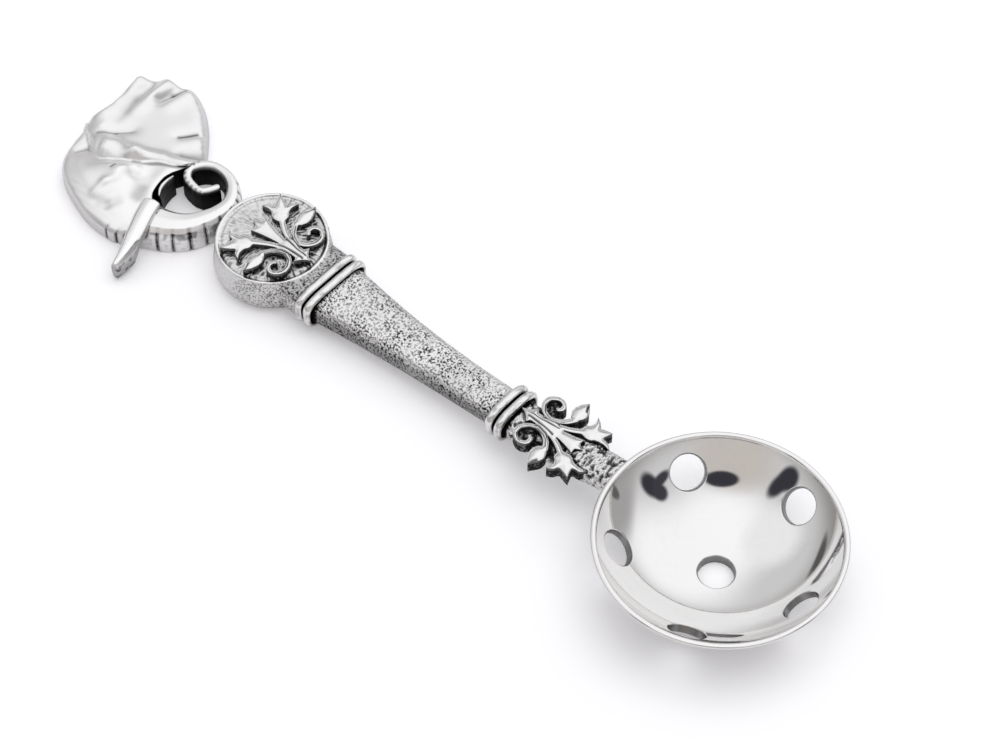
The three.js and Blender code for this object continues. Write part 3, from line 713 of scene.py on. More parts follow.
class SPOON_OT_make_bowl(bpy.types.Operator):
    """Turn the bowl, drill its drain holes and polish it"""

    bl_idname = "spoon.make_bowl"
    bl_label = "Make Bowl"

    def execute(self, context):
        cutter = bpy.data.objects.new("drain_cutters", drain_cutters())
        context.scene.collection.objects.link(cutter)
        settings = {"operation": "DIFFERENCE", "solver": "EXACT", "object": cutter}
        mesh = with_modifiers(bowl_blank(), ("BOOLEAN", settings))
        bpy.data.objects.remove(cutter)
        self.set_normals_and_patina(mesh)
        add_piece("bowl_polished", mesh, "bowl_polish", "polished_silver", "bowl")
        return {"FINISHED"}

    def set_normals_and_patina(self, mesh):
        """Gives each face its true normals, so that reflections stay clean beside the holes."""
        mesh.polygons.foreach_set("use_smooth", [True] * len(mesh.polygons))
        inside = Vector((BOWL_X, 0, INSIDE_CENTRE * MM))
        outside = Vector((BOWL_X, 0, OUTSIDE_CENTRE * MM))
        normals = [None] * len(mesh.loops)
        patina = np.zeros(len(mesh.loops), np.float32)
        for face in mesh.polygons:
            spots = [mesh.vertices[i].co for i in face.vertices]
            inner = self.lie_on(spots, inside, INSIDE_SPHERE)
            outer = self.lie_on(spots, outside, OUTSIDE_SPHERE)
            for loop in face.loop_indices:
                index = mesh.loops[loop].vertex_index
                place = mesh.vertices[index].co
                wall = hole_normal(place)
                if inner:
                    normals[loop] = (inside - place).normalized()
                elif outer:
                    normals[loop] = (place - outside).normalized()
                    patina[loop] = OUTSIDE_PATINA
                elif wall is not None:
                    normals[loop] = wall
                    patina[loop] = DRAIN_PATINA
                else:
                    normals[loop] = mesh.vertex_normals[index].vector
        mesh.attributes.new(PATINA, "FLOAT", "CORNER").data.foreach_set("value", patina)
        mesh.normals_split_custom_set(normals)

    def lie_on(self, spots, centre, radius):
        """Whether all the spots lie on a sphere."""
        return all(abs((spot - centre).length - radius * MM) < SURFACE_SLACK * MM for spot in spots)


class SPOON_OT_make_collars(bpy.types.Operator):
    """Bend the four half-round wires of the two collars"""

    bl_idname = "spoon.make_collars"
    bl_label = "Make Collars"

    def execute(self, context):
        for collar, squareness in HOOP_SQUARENESS.items():
            for end in ("rear", "front"):
                self.make_hoop(f"{collar}_collar_ring_{end}", squareness)
        return {"FINISHED"}

    def make_hoop(self, node, squareness):
        """A round section spun into a ring, then bent to the collar's rounded oblong."""
        low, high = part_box(node)
        middle = (low + high) / 2 / MM
        half = (high - low) / 2 / MM
        core = Vector((0, half.y - WIRE_RISE / 2, half.z - WIRE_RISE / 2))
        shape = bmesh.new()
        start = Matrix.Translation((0, HOOP_START, 0))
        bmesh.ops.create_circle(shape, segments=WIRE_AROUND, radius=1, matrix=start)
        bmesh.ops.spin(
            shape, geom=shape.verts[:] + shape.edges[:], cent=(0, 0, 0), axis=(1, 0, 0),
            angle=2 * math.pi, steps=HOOP_STEPS, use_merge=True)
        bmesh.ops.remove_doubles(shape, verts=shape.verts, dist=MERGE_REACH)
        patina = []
        for vertex in shape.verts:
            x, y, z = vertex.co
            outward = math.hypot(y, z) - HOOP_START
            angle = math.atan2(z, y)
            inner = Vector(oblong(angle, core.y, core.z, squareness))
            outer = Vector(oblong(angle, half.y, half.z, squareness))
            spot = inner.lerp(outer, outward)
            along = middle.x + x * half.x * WIRE_PRESS
            vertex.co = Vector((along, spot.x, middle.z + spot.y)) * MM
            patina.append(float(1 - smoothstep(-0.75, -0.05, outward)))
        bmesh.ops.recalc_face_normals(shape, faces=shape.faces)
        mesh = to_mesh(shape)
        places, _ = points_of(mesh)
        worn = lumps(places * np.array(WEAR_STRETCH), WEAR_SIZE, SEEDS["wire_wear"])
        set_patina(mesh, np.array(patina) + WEAR_PATINA * smoothstep(0.0, 0.5, worn))
        add_piece(f"{node}_wire", mesh, "hoop_polish", "wire_silver", node)


class SPOON_OT_make_shaft(bpy.types.Operator):
    """Draw the tapered shaft and pit its surface"""

    bl_idname = "spoon.make_shaft"
    bl_label = "Make Shaft"

    def execute(self, context):
        sizes = context.scene.spoon_sizes
        mesh = self.smooth_bar()
        places, normals = points_of(mesh)
        pitted = pits(places, sizes.pit_size / MM, SEEDS["shaft_pits"])
        patch = smoothstep(-0.4, 0.2, lumps(places, SHAFT_PATCHES, SEEDS["shaft_patches"]))
        # Painted shade on the near side, standing in for the shadowed floor that it reflects, laid over
        # its patina
        near = smoothstep(0.2, 0.8, -normals[:, 1])
        edge = smoothstep(0.2, 0.45, np.abs(normals[:, 1] * normals[:, 2]))
        # A band of painted shade just under the near edge
        below = smoothstep(0.5, 0.75, -normals[:, 1]) * (1 - smoothstep(0.85, 0.98, -normals[:, 1]))
        depth = pitted * (0.6 + 0.4 * patch + 0.4 * edge * (normals[:, 1] < 0))
        set_points(mesh, places - normals * depth[:, None] * sizes.pit_depth / MM)
        x = places[:, 0]
        ends = 1 - smoothstep(0.0, SHAFT_END, np.minimum(x - x.min(), x.max() - x))
        in_pits, on_top, near_side_shade, under_edge_shade, at_ends = SHAFT_PATINA_AND_SHADE
        # Plateau patina with the painted shade of the near side and under the edge, cleared where the
        # edge is worn
        ground = (on_top + near_side_shade * near + under_edge_shade * below) * (1 - 0.8 * edge)
        set_patina(mesh, in_pits * depth * (1 - 0.3 * edge) + ground + at_ends * ends)
        add_piece("shaft_pitted", mesh, "antique_silver", "antiqued_silver", "shaft")
        return {"FINISHED"}

    def smooth_bar(self):
        """A grid rolled into the shaft's tapered oblong, with closed ends."""
        low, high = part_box("shaft")
        turns = even_turns(SHAFT_WIDTH[0], SHAFT_HEIGHT[0], SHAFT_SQUARENESS)
        shape = bmesh.new()
        bmesh.ops.create_grid(shape, x_segments=SHAFT_ALONG, y_segments=SHAFT_AROUND, size=1)
        for vertex in shape.verts:
            t = (vertex.co.x + 1) / 2
            angle = np.interp((vertex.co.y + 1) / 2, *turns)
            width = mix(SHAFT_WIDTH[1], SHAFT_WIDTH[0], (1 - t) ** SHAFT_FLARE)
            height = mix(*SHAFT_HEIGHT, t)
            y, z = oblong(angle, width / 2, height / 2, SHAFT_SQUARENESS)
            axis = mix(*SHAFT_AXIS, t ** SHAFT_SWEEP)
            vertex.co = (mix(low.x, high.x, t), y * MM, (axis + z) * MM)
        bmesh.ops.remove_doubles(shape, verts=shape.verts, dist=MERGE_REACH * MM)
        rims = [e for e in shape.edges if e.is_boundary]
        bmesh.ops.holes_fill(shape, edges=rims, sides=0)
        bmesh.ops.recalc_face_normals(shape, faces=shape.faces)
        return to_mesh(shape)


class SPOON_OT_make_neck(bpy.types.Operator):
    """Roughen the neck with deep chased pits"""

    bl_idname = "spoon.make_neck"
    bl_label = "Make Neck"

    def execute(self, context):
        sizes = context.scene.spoon_sizes
        mesh = fine_copy(merged_copy("neck"), NECK_GRAIN, NECK_ROUNDS)
        places, normals = points_of(mesh)
        stretched = places * np.array(NECK_STRETCH)
        coarse = pits(stretched, NECK_COARSE * sizes.pit_size / MM, SEEDS["neck_coarse"])
        fine = pits(places, NECK_FINE * sizes.pit_size / MM, SEEDS["neck_fine"])
        shut = smoothstep(0.15, 0.6, shelter(mesh))
        depth = (coarse + 0.3 * fine) * NECK_DEPTH * sizes.pit_depth / MM
        set_points(mesh, places - normals * depth[:, None])
        in_coarse, in_fine, in_shelter = NECK_PATINA
        set_patina(mesh, in_coarse * coarse + in_fine * fine + in_shelter * shut)
        add_piece("neck_pitted", mesh, "antique_silver", "antiqued_silver", "neck")
        return {"FINISHED"}


def raised_floor(places):
    """How far the chased floor swells up towards the lily, in millimetres."""
    reach = np.hypot(places[:, 0], places[:, 1])
    swell = FLOOR_SWELL * (1 - smoothstep(*SWELL_RUN, reach))
    return swell + FLOOR_STEP * (1 - smoothstep(*STEP_RUN, reach))


def far_lift(places):
    """How far the medallion's far side stands above its near side, in millimetres."""
    reach = FAR_WAY[1] * places[:, 1] + FAR_WAY[0] * places[:, 0]
    return FAR_LIFT * smoothstep(*FAR_RUN, reach)


class SPOON_OT_make_medallion(bpy.types.Operator):
    """Hatch the medallion's floor and pit its side"""

    bl_idname = "spoon.make_medallion"
    bl_label = "Make Medallion"

    def execute(self, context):
        sizes = context.scene.spoon_sizes
        mesh = fine_copy(merged_copy("medallion"), MEDALLION_GRAIN, MEDALLION_ROUNDS)
        places, normals = points_of(mesh)
        reach = np.hypot(places[:, 0], places[:, 1])
        top = normals[:, 2] > 0.6
        floor = np.where(top & (reach < FLOOR_EDGE), 1.0, 0.0)
        shoulder = np.where(top & (reach > SHOULDER_START), 1.0, 0.0)
        side = np.where(top, 0.0, 1.0) * np.where(places[:, 2] > BACK_EDGE, 1.0, 0.0)
        turn = np.arctan2(places[:, 1], places[:, 0])
        spoke = np.stack([turn * HATCH_AROUND, reach * HATCH_OUTWARD, np.zeros(len(reach))], 1)
        hatch = smoothstep(0.0, 0.35, lumps(spoke, HATCH_SIZE, SEEDS["hatching"]))
        pitted = pits(places, sizes.pit_size / MM, SEEDS["medallion_pits"])
        patches = lumps(places, MEDALLION_PATCHES, SEEDS["medallion_patches"])
        patch = smoothstep(-0.3, 0.35, patches)
        close = smoothstep(0.15, 0.65, shelter(mesh))
        right = smoothstep(*DARK_RUN, places[:, 0])
        side_pits = side * pitted * mix(patch, 1, right)
        depth = floor * hatch * (0.5 + 0.5 * close) + shoulder * pitted + 0.6 * side_pits
        places[:, 2] += raised_floor(places) * np.where(normals[:, 2] > 0.3, 1.0, 0.0)
        places[:, 2] += far_lift(places) * np.clip((places[:, 2] - LIFT_FOOT) / LIFT_RISE, 0, 1)
        set_points(mesh, places - normals * depth[:, None] * sizes.pit_depth / MM)
        plain, in_patches, in_corners, at_right = HATCH_PATINA
        hatched = hatch * (plain + in_patches * patch + in_corners * close + at_right * right)
        plain, at_right = FLOOR_PATINA
        patina = floor * (plain + at_right * right + hatched) + CORNER_PATINA * close
        plain, in_pits = SHOULDER_PATINA
        patina += shoulder * (plain + in_pits * pitted)
        plain, in_pits, at_right = SIDE_PATINA
        set_patina(mesh, patina + plain * side + side_pits * (in_pits + at_right * right))
        add_piece("medallion_hatched", mesh, "antique_silver", "antiqued_silver", "medallion")
        return {"FINISHED"}


class SPOON_OT_make_lilies(bpy.types.Operator):
    """Round the petals and stems of both lilies and blacken their sides"""

    bl_idname = "spoon.make_lilies"
    bl_label = "Make Lilies"

    def execute(self, context):
        for node in ("medallion_lily", "neck_lily"):
            self.make_lily(node, context.scene.spoon_sizes.petal_round / MM)
        return {"FINISHED"}

    def make_lily(self, node, rounding):
        shape = merged_copy(node)
        if node == "neck_lily":
            self.back_scrolls(shape)
        mesh = fine_copy(shape, LILY_GRAIN, LILY_ROUNDS)
        places, normals = points_of(mesh)
        top = places[:, 2].max()
        high = places[:, 2] > top - LILY_WALL
        wall = (np.abs(normals[:, 2]) < 0.5) & high
        crown = (normals[:, 2] > 0.5) & high
        edge = plan_tree(places[wall])
        away = np.array([edge.find((x, y, 0))[2] for x, y, _ in places])
        fall = np.where(crown, np.clip(1 - away / rounding, 0, 1) ** 2, 0)
        cut = self.incised(node, places) * crown
        lift = far_lift(places) if node == "medallion_lily" else 0
        places[:, 2] += lift - (fall * PETAL_FALL + cut * LINE_DEPTH)
        set_points(mesh, places)
        places, normals = points_of(mesh)
        down = smoothstep(0.35, 0.8, top + lift - places[:, 2] - cut * LINE_DEPTH)
        steep = 1 - smoothstep(0.15, 0.5, normals[:, 2])
        wear, on_steep, in_lines = LILY_PATINA
        worn = wear * smoothstep(0.0, 0.5, lumps(places, LILY_WEAR, SEEDS["lily_wear"]))
        sides = np.maximum((1 - worn) * down, on_steep * steep)
        set_patina(mesh, np.maximum(sides, in_lines * cut))
        add_piece(f"{node}_carved", mesh, "lily_silver", "ornament_silver", node)

    def back_scrolls(self, shape):
        """Closes the neck lily's scrolls with a dark plate below their tops."""
        low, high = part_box("neck_lily")
        along, across = LILY_SCALES["neck_lily"]
        x = low.x + (LILY_TIP + SCROLL_MIDDLE[0]) * along * MM
        for side in (-1, 1):
            place = Vector((x, side * SCROLL_MIDDLE[1] * across * MM, high.z - PLATE_DROP * MM))
            bmesh.ops.create_cone(
                shape, cap_ends=True, segments=PLATE_SIDES, radius1=SCROLL_FILL * MM,
                radius2=SCROLL_FILL * MM, depth=PLATE_DEPTH * MM, matrix=Matrix.Translation(place))

    def incised(self, node, places):
        """1 in the middle of the incised lines of a lily, fading to 0 beside them."""
        low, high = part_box(node)
        along, across = LILY_SCALES[node]
        base = (high.x if along < 0 else low.x) / MM + LILY_TIP * along
        grid = np.stack([(places[:, 0] - base) / along, np.abs(places[:, 1] / across)], 1)
        cut = np.zeros(len(places))
        for points, width in LILY_LINES:
            away = np.min([stroke(grid, a, b) for a, b in zip(points, points[1:])], axis=0)
            cut = np.maximum(cut, np.exp(-(away / width) ** 2))
        return cut


# The free edge of the head, and how the face slopes up from it
FOREHEAD_LINE = [
    (-37.9, -0.8), (-37.4, -2.6), (-36.7, -5.8), (-35.1, -9.5), (-32, -12.4), (-25.9, -14.9),
    (-20.7, -16.1), (-15.5, -16), (-12.4, -14.2),
]
LINE_STEPS = 4
HEAD_HEIGHT = 5.6
HEAD_EDGE = 3
HEAD_ROUND = 3
SLOPE_FOOT = 3.6
SLOPE_RISE = 0.26
SLOPE_EASE = 0.25
# Where the trunk's ring opens, and the shaded part of the seam between the ear and the face
RING_MIDDLE = (-9.0, 0.0)
RING_RADIUS = 6.3
RING_WALL = (7.5, 8.5)
SHADE_WIDTH = 0.7
FACE_SHADE = [(-23, -2.2), (-19.7, 0.6), (-16.7, 2.1), (-15, 3.4)]
# Folds of the ear and the face: start, end, width, depth (a rise where negative) and darkening, partly
# patina in the fold and partly painted shade
EAR_CREASES = [
    ((-35.1, 13.2), (-34.3, 7), 1.2, 0.35, 0.12),
    ((-34.3, 7), (-33.9, 3.9), 1, 0.2, 0.06),
    ((-39, 13.9), (-37.6, 7.6), 1, -0.2, 0),
    ((-37.6, 7.6), (-37.1, 1), 1, -0.2, 0),
    ((-33.9, 17.8), (-33.1, 13.5), 1, -0.2, 0),
    ((-33.1, 13.5), (-32.2, 8.8), 1, -0.1, 0),
    ((-31.6, 12.8), (-30.4, 15.6), 0.6, 0.25, 0.3),
    ((-30.4, 15.6), (-29.5, 18.2), 0.45, 0.35, 0.6),
    ((-34.1, -0.9), (-31.7, 1.4), 0.45, 0.3, 0.4),
    ((-31.7, 1.4), (-29.5, 3.8), 0.35, 0.2, 0.35),
    ((-33.3, -2.4), (-29.6, -0.6), 1.3, -0.3, 0),
    ((-29.6, -0.6), (-24.9, 0.1), 1.3, -0.3, 0),
    ((-24.9, 0.1), (-20.5, 3), 1, -0.3, 0),
    ((-21.9, 8.6), (-19.8, 11.5), 0.3, 0.3, 0.75),
    ((-18.2, 5.8), (-15.6, 8), 0.8, 0.25, 0.45),
]
FACE_CREASES = [
    ((-24.6, -6.5), (-24.3, -5.6), 0.2, 0.25, 0.8),
    ((-22.9, -6), (-22.6, -4.8), 1.2, -0.6, 0),
    ((-22, -2.8), (-21, -2.9), 0.9, -0.3, 0),
    ((-20.8, -4.6), (-19.8, -4.2), 1, 0.35, 0.12),
    ((-23.5, -12.2), (-23.2, -9.5), 0.9, -0.35, 0),
    ((-23.2, -9.5), (-22, -7.6), 0.9, -0.35, 0),
    ((-21.6, -12.9), (-19.7, -12.6), 0.9, 0.3, 0.1),
    ((-19.7, -12.6), (-18.7, -10.8), 0.9, 0.3, 0.1),
    ((-16.9, -7.8), (-17.8, -5.3), 1, 0.3, 0.35),
    ((-27.9, -5.6), (-25.8, -4.3), 0.9, 0.3, 0.1),
    ((-25.8, -4.3), (-24.1, -2.2), 0.9, 0.3, 0.1),
    ((-34.2, -6.3), (-33.3, -4.6), 0.6, 0.3, 0.25),
    ((-33.3, -4.6), (-31.6, -4.5), 0.6, 0.3, 0.25),
]
# The seam between the ear and the face, where their walls overlap and the ear is tucked in
FACE_LINE = [
    (-38, -0.4), (-36, -2), (-34.2, -3.2), (-32.2, -4.6), (-29.7, -5.6), (-27.6, -5),
    (-25.7, -3.4), (-22.7, -1.4), (-19.7, 1.2), (-16.7, 2.6), (-14.9, 4), (-14.1, 5.4),
]
SEAM_WIDTH = 0.8
SEAM_OVERLAP = 0.35
EAR_TUCK = 1.4
TUCK_WIDTH = 4.0
TUCK_RUN = (-28.0, -33.5)
EAR_GREY = 0.06
# Size of the faces in millimetres, then rounds of smoothing of the shape, its top and its folds
RELIEF_GRAIN = 0.16
RELIEF_ROUNDS = 45
TOP_ROUNDS = 70
FOLD_ROUNDS = 10
RELIEF_CLEAR = 0.4
# Grooves across the free edge of the head
HEAD_GROOVES = (-16.8, -14.6, -13.0)
HEAD_GROOVE_SIDE = -12
HEAD_GROOVE_WIDTH = 0.25
HEAD_GROOVE_DEPTH = 0.2
HEAD_GROOVE_PATINA = 0.8
# Patina of the head and the ear, in sheltered places and on their walls, and painted shade along the
# seam
RELIEF_PATINA = (0.9, 0.22)
PAINTED_SEAM_SHADE = 0.4
# The trunk: its grooves and where its curl starts, measured along it in millimetres
TRUNK_GRAIN = 0.14
TRUNK_ROUNDS = 12
TRUNK_STEPS = 16
TRUNK_GROOVES = (3.4, 5.7, 8.2, 10.8, 13.8, 16.4, 18.2, 20.0, 22.0)
GROOVE_WIDTH = 0.26
GROOVE_DEPTH = 0.34
ROUGH_SIZE = 0.8
RIDGE_SIZE = 1.5
RIDGE_END = 13
CURL_START = 28.0
CURL_SWELL = 0.3
CURL_RUN = (26, 32)
BEAD_RUN = (31, 40)
BEAD_PITCH = 1.1
BEAD_DEPTH = 0.16
# Patina in the trunk's grooves, on its ridge, between its beads and in sheltered places, and of its
# outer wall where that is plain and where it is rough
TRUNK_PATINA = (0.85, 0.65, 0.7, 0.8)
WALL_PATINA = (0.04, 0.18)
# The tusk and the lip, and where the tusk swells and its tip starts across the spoon
SMALL_GRAIN = 0.12
SMALL_ROUNDS = 30
TUSK_SWELL = 0.3
TUSK_RUN = (-21.5, -17)
TIP_RUN = (-15, -20)
SPOT_SIZE = 0.9
# Darkening of the tusk where it faces sideways and down, with more in its spots and more in those at
# its tip
TUSK_DARKENING = (0.55, 0.1, 0.3)


class SPOON_OT_make_elephant(bpy.types.Operator):
    """Shape the elephant's head, ear, trunk, tusk and lip with their creases"""

    bl_idname = "spoon.make_elephant"
    bl_label = "Make Elephant"

    def execute(self, context):
        self.make_relief("elephant_ear", EAR_CREASES)
        self.make_relief("elephant_head", FACE_CREASES)
        self.make_trunk()
        for node in ("elephant_tusk", "elephant_lip"):
            self.make_small(node)
        return {"FINISHED"}

    def make_relief(self, node, creases):
        """Folds the head or the ear out of its solid."""
        mesh = fine_copy(merged_copy(node), RELIEF_GRAIN, RELIEF_ROUNDS)
        places, normals = points_of(mesh)
        plan = places - np.array([ELEPHANT_X, 0, 0])
        upper = smoothstep(0.2, 0.6, normals[:, 2])
        flank = 1 - smoothstep(0.3, 0.75, np.abs(normals[:, 2]))
        seam = self.nearness(plan, FACE_LINE, SEAM_WIDTH)
        ring = 1 - smoothstep(*RING_WALL, self.from_ring(plan))
        shut = smoothstep(0.3, 0.75, shelter(mesh, clear=RELIEF_CLEAR))
        places[:, 2] = mix(places[:, 2], evened(mesh, places[:, 2], TOP_ROUNDS), upper)
        in_shelter, on_wall = RELIEF_PATINA
        patina = in_shelter * shut * (1 - seam) + on_wall * flank * (1 - seam) + flank * ring
        places += normals * (SEAM_OVERLAP * flank * seam)[:, None]
        depth = np.zeros(len(places))
        for start, end, width, deep, dark in creases:
            near = np.exp(-(stroke(plan, start, end) / width) ** 2) * upper
            depth += near * deep
            # Darkening along each fold, partly patina and partly painted shade
            patina += near * dark
        if node == "elephant_ear":
            patina += EAR_GREY
            tuck = EAR_TUCK * (1 - smoothstep(0.0, TUCK_WIDTH, self.distance(plan, FACE_LINE)))
            tuck *= smoothstep(*TUCK_RUN, plan[:, 0])
            places[:, 2] -= tuck * np.clip(places[:, 2] / HEAD_HEIGHT, 0, 1)
        else:
            # Painted shade on the face along the seam under the ear
            patina += PAINTED_SEAM_SHADE * upper * self.nearness(plan, FACE_SHADE, SHADE_WIDTH)
            depth += self.face_fall(plan) * upper
            for x in HEAD_GROOVES:
                groove = np.exp(-((plan[:, 0] - x) / HEAD_GROOVE_WIDTH) ** 2) * flank
                groove *= plan[:, 1] < HEAD_GROOVE_SIDE
                patina += HEAD_GROOVE_PATINA * groove
                places -= normals * (HEAD_GROOVE_DEPTH * groove)[:, None]
        places[:, 2] -= evened(mesh, depth, FOLD_ROUNDS)
        set_points(mesh, places)
        set_patina(mesh, patina)
        add_piece(f"{node}_satin", mesh, "elephant_satin", "satin_silver", node)

    def face_fall(self, plan):
        """How far the face falls below the head's rounded top, down to its free edge."""
        inset = self.distance(plan, FOREHEAD_LINE)
        share = np.clip(inset / HEAD_ROUND, 0, 1)
        rounded = HEAD_EDGE + (HEAD_HEIGHT - HEAD_EDGE) * (1 - (1 - share) ** 2)
        slope = SLOPE_FOOT + SLOPE_RISE * inset
        eased = -SLOPE_EASE * np.logaddexp(-rounded / SLOPE_EASE, -slope / SLOPE_EASE)
        return rounded - eased

    def from_ring(self, plan):
        """Distance in plan from the middle of the trunk's ring."""
        return np.hypot(plan[:, 0] - RING_MIDDLE[0], plan[:, 1] - RING_MIDDLE[1])

    def distance(self, plan, points):
        """Distance in plan to a smooth line through plan points."""
        line = spline(points, LINE_STEPS)
        return np.min([stroke(plan, a, b) for a, b in zip(line, line[1:])], axis=0)

    def nearness(self, plan, points, width):
        """1 on a smooth line through plan points, fading to 0 at a width."""
        return 1 - smoothstep(0.4 * width, width, self.distance(plan, points))

    def along_trunk(self, places):
        """How far along the trunk each place lies, and how far out from its middle line."""
        path = spline(TRUNK_PATH, TRUNK_STEPS) + np.array([ELEPHANT_X, 0])
        steps = np.linalg.norm(np.diff(path, axis=0), axis=1)
        run = np.concatenate([[0], np.cumsum(steps)])
        line = plan_tree(path)
        nearest = np.array([line.find((x, y, 0))[1] for x, y, _ in places])
        heading = np.gradient(path, axis=0)
        heading /= np.linalg.norm(heading, axis=1)[:, None]
        offset = places[:, :2] - path[nearest]
        outward = heading[nearest, 1] * offset[:, 0] - heading[nearest, 0] * offset[:, 1]
        return run[nearest], outward

    def make_trunk(self):
        """Grooves the trunk, beads its curl and blackens the walls inside its ring."""
        mesh = fine_copy(merged_copy("elephant_trunk"), TRUNK_GRAIN, TRUNK_ROUNDS)
        places, normals = points_of(mesh)
        along, outward = self.along_trunk(places)
        upright = 1 - np.abs(normals[:, 2])
        flank = smoothstep(0.5, 0.9, upright)
        outside = (outward > 0) * (along < CURL_START)
        in_ring = self.from_ring(places - np.array([ELEPHANT_X, 0, 0])) < RING_RADIUS
        inside = np.where(along < CURL_START, outward < 0, (outward < 0) | in_ring)
        groove = np.max([np.exp(-((along - s) / GROOVE_WIDTH) ** 2) for s in TRUNK_GROOVES], axis=0)
        groove *= smoothstep(0.12, 0.5, upright) * outside
        shut = smoothstep(0.3, 0.75, shelter(mesh))
        beads = np.exp(-((normals[:, 2] - 0.6) / 0.3) ** 2) * (outward > 0)
        beads *= (along > BEAD_RUN[0]) * (along < BEAD_RUN[1])
        beads *= 0.5 - 0.5 * np.cos(2 * math.pi * along / BEAD_PITCH)
        level = normals * np.array([1, 1, 0])
        places += level * (CURL_SWELL * smoothstep(*CURL_RUN, along))[:, None]
        set_points(mesh, places - normals * (GROOVE_DEPTH * groove + BEAD_DEPTH * beads)[:, None])
        rough = smoothstep(0.0, 0.5, lumps(places, ROUGH_SIZE, SEEDS["trunk_rough"]))
        ridge = np.exp(-((normals[:, 2] - 0.35) / 0.2) ** 2) * (outward > 0) * (along < RIDGE_END)
        ridge *= smoothstep(-0.2, 0.3, lumps(places, RIDGE_SIZE, SEEDS["trunk_ridge"]))
        in_grooves, on_ridge, in_beads, in_shelter = TRUNK_PATINA
        marks = in_grooves * groove + on_ridge * ridge + in_beads * beads + in_shelter * shut
        plain, in_rough = WALL_PATINA
        set_patina(mesh, marks + flank * outside * (plain + in_rough * rough) + flank * inside)
        add_piece("elephant_trunk_wrinkled", mesh, "elephant_satin", "satin_silver", "elephant_trunk")

    def make_small(self, node):
        """Polishes the tusk or the lip and darkens its sides."""
        mesh = fine_copy(merged_copy(node), SMALL_GRAIN, SMALL_ROUNDS)
        places, normals = points_of(mesh)
        shut = smoothstep(0.25, 0.8, shelter(mesh))
        # Darker where it faces sideways and down
        patina = 1 - smoothstep(-0.1, 0.7, normals[:, 2])
        if node == "elephant_tusk":
            tip = smoothstep(*TIP_RUN, places[:, 1])
            level = normals * np.array([1, 1, 0])
            places += level * (TUSK_SWELL * smoothstep(*TUSK_RUN, places[:, 1]))[:, None]
            set_points(mesh, places)
            spots = smoothstep(0.1, 0.5, lumps(places, SPOT_SIZE, SEEDS["tusk_spots"]))
            plain, in_spots, at_tip = TUSK_DARKENING
            patina *= plain + (in_spots + at_tip * tip) * spots
        set_patina(mesh, shut + patina)
        add_piece(f"{node}_polished", mesh, "tusk_silver", "satin_silver", node)


BLACK_PIECES = (
    "upper_collar_band", "lower_collar_band", "upper_dowel", "lower_dowel", "trunk_dowel",
)


class SPOON_OT_dress_hidden(bpy.types.Operator):
    """Blacken the bands under the wires and the dowels inside"""

    bl_idname = "spoon.dress_hidden"
    bl_label = "Dress Bands and Dowels"

    def execute(self, context):
        for name in BLACK_PIECES:
            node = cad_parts[name]
            node.data.materials.clear()
            node.data.materials.append(finish_named("black_silver"))
        return {"FINISHED"}


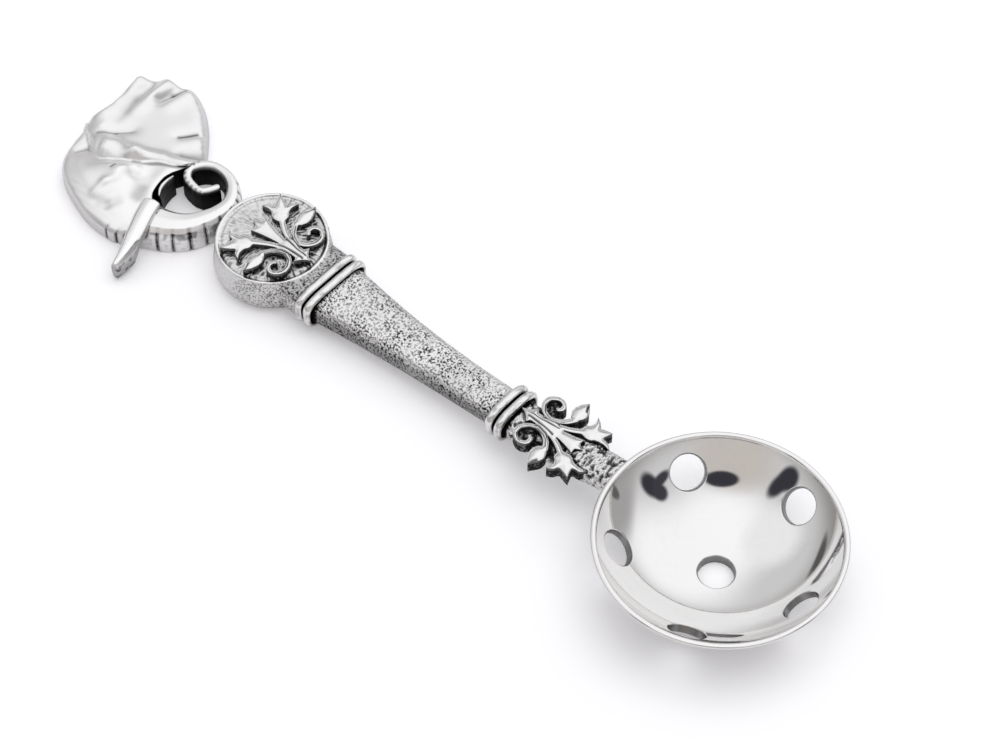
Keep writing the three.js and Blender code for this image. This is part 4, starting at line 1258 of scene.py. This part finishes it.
class SPOON_OT_make_stage(bpy.types.Operator):
    """Set up the floor, the light and the camera"""

    bl_idname = "spoon.make_stage"
    bl_label = "Make Stage"

    def execute(self, context):
        self.make_floor()
        self.make_world()
        self.make_lamp()
        self.make_camera()
        context.scene.view_settings.view_transform = "Standard"
        return {"FINISHED"}

    def make_floor(self):
        """A pale floor with a glow for the camera alone, so that the silver's walls stay dark."""
        shape = bmesh.new()
        bmesh.ops.create_grid(
            shape, x_segments=FLOOR_CELLS, y_segments=FLOOR_CELLS, size=FLOOR_SIZE)
        bmesh.ops.translate(shape, verts=shape.verts, vec=(0, 0, -FLOOR_DROP * MM))
        floor = bpy.data.objects.new("floor", to_mesh(shape))
        bpy.context.scene.collection.objects.link(floor)
        material, tree, shader = new_material("studio_floor")
        start = Socket(tree, None)
        rays = start.make("ShaderNodeLightPath", output="Is Camera Ray")
        clear = start.make("ShaderNodeLightPath", output="Is Transmission Ray")
        seen = (rays + clear).clamp()
        shader.inputs["Base Color"].default_value = colour(bpy.context.scene.spoon_colours.floor)
        shader.inputs["Roughness"].default_value = FLOOR_ROUGHNESS
        shader.inputs["Specular IOR Level"].default_value = 0.0
        lit = seen.mix(colour(BLACK), colour(FLOOR_GLOW))
        tree.links.new(lit.socket, shader.inputs["Emission Color"])
        shader.inputs["Emission Strength"].default_value = 1.0
        floor.data.materials.append(material)

    def make_world(self):
        """A light tent: pale all round, with a bright side and a few dark openings."""
        world = bpy.data.worlds.new("studio")
        world.use_nodes = True
        tree = world.node_tree
        start = Socket(tree, None)
        rays = start.make("ShaderNodeLightPath", output="Is Camera Ray")
        way = start.make("ShaderNodeTexCoord", output="Generated")
        height = start.make("ShaderNodeSeparateXYZ", None, {0: way}, output="Z")
        shade = height.ramp(*TENT_RISE).mix(colour(TENT_FOOT), colour(TENT_WALL))
        for *place, tone in TENT_PATCHES:
            shade = self.patch(start, way, *place).mix(shade, colour(tone))
        seen = rays.mix(shade, colour(WHITE))
        background = tree.nodes["Background"]
        tree.links.new(seen.socket, background.inputs["Color"])
        background.inputs["Strength"].default_value = 1.0
        bpy.context.scene.world = world

    def patch(self, start, way, azimuth, elevation, width, height, soft):
        """1 inside an oval patch of the tent, fading to 0 at its edge."""
        turn = math.radians(azimuth)
        rise = math.radians(elevation)
        aim = Vector((math.cos(turn) * math.cos(rise), math.sin(turn) * math.cos(rise), math.sin(rise)))
        side = Vector((-math.sin(turn), math.cos(turn), 0))
        along = self.part_of(start, way, side / math.sin(math.radians(width)))
        up = self.part_of(start, way, aim.cross(side) / math.sin(math.radians(height)))
        behind = start.math("LESS_THAN", self.part_of(start, way, aim), 0.0)
        return (along * along + up * up + behind * 2.0).ramp(1.0, (1 - soft) ** 2)

    def part_of(self, start, way, direction):
        settings = {"operation": "DOT_PRODUCT"}
        return start.make("ShaderNodeVectorMath", settings, {0: way, 1: direction}, output=1)

    def make_lamp(self):
        light = bpy.data.lights.new("key_light", "AREA")
        light.shape = "DISK"
        light.size = LAMP_SIZE
        light.energy = LAMP_POWER
        lamp = bpy.data.objects.new("key_light", light)
        lamp.location = LAMP_PLACE
        aim = Vector(LAMP_AIM) - Vector(LAMP_PLACE)
        lamp.rotation_euler = aim.to_track_quat("-Z", "Y").to_euler()
        lamp.visible_glossy = False
        bpy.context.scene.collection.objects.link(lamp)

    def make_camera(self):
        camera = bpy.data.cameras.new("camera")
        camera.lens = CAMERA_LENS
        camera.sensor_width = SENSOR_WIDTH
        camera.clip_start, camera.clip_end = CAMERA_CLIP
        stand = bpy.data.objects.new("camera", camera)
        azimuth = math.radians(CAMERA_AZIMUTH)
        elevation = math.radians(CAMERA_ELEVATION)
        level = math.cos(elevation)
        back = Vector((math.sin(azimuth) * level, -math.cos(azimuth) * level, math.sin(elevation)))
        stand.location = CAMERA_PLACE
        stand.rotation_euler = (-back).to_track_quat("-Z", "Y").to_euler()
        bpy.context.scene.collection.objects.link(stand)
        bpy.context.scene.camera = stand


OPERATORS = (
    SPOON_OT_make_stage, SPOON_OT_make_bowl, SPOON_OT_make_collars, SPOON_OT_make_shaft,
    SPOON_OT_make_neck, SPOON_OT_make_medallion, SPOON_OT_make_lilies, SPOON_OT_make_elephant,
    SPOON_OT_dress_hidden,
)


class SPOON_PT_panel(bpy.types.Panel):
    """The spoon's steps, sizes and colours"""

    bl_idname = "SPOON_PT_panel"
    bl_label = "Olive Spoon"
    bl_space_type = "VIEW_3D"
    bl_region_type = "UI"
    bl_category = "Olive Spoon"

    def draw(self, context):
        for operator in OPERATORS:
            self.layout.operator(operator.bl_idname)
        for group in (context.scene.spoon_sizes, context.scene.spoon_colours):
            for name in group.bl_rna.properties.keys():
                if name not in ("rna_type", "name"):
                    self.layout.prop(group, name)


CLASSES = (SpoonSizes, SpoonColours, *OPERATORS, SPOON_PT_panel)


def register():
    for kind in CLASSES:
        bpy.utils.register_class(kind)
    bpy.types.Scene.spoon_sizes = bpy.props.PointerProperty(type=SpoonSizes)
    bpy.types.Scene.spoon_colours = bpy.props.PointerProperty(type=SpoonColours)


def unregister():
    del bpy.types.Scene.spoon_colours
    del bpy.types.Scene.spoon_sizes
    for kind in reversed(CLASSES):
        bpy.utils.unregister_class(kind)


def main():
    register()
    for operator in OPERATORS:
        group, name = operator.bl_idname.split(".")
        getattr(getattr(bpy.ops, group), name)()


if __name__ == "__main__":
    main()
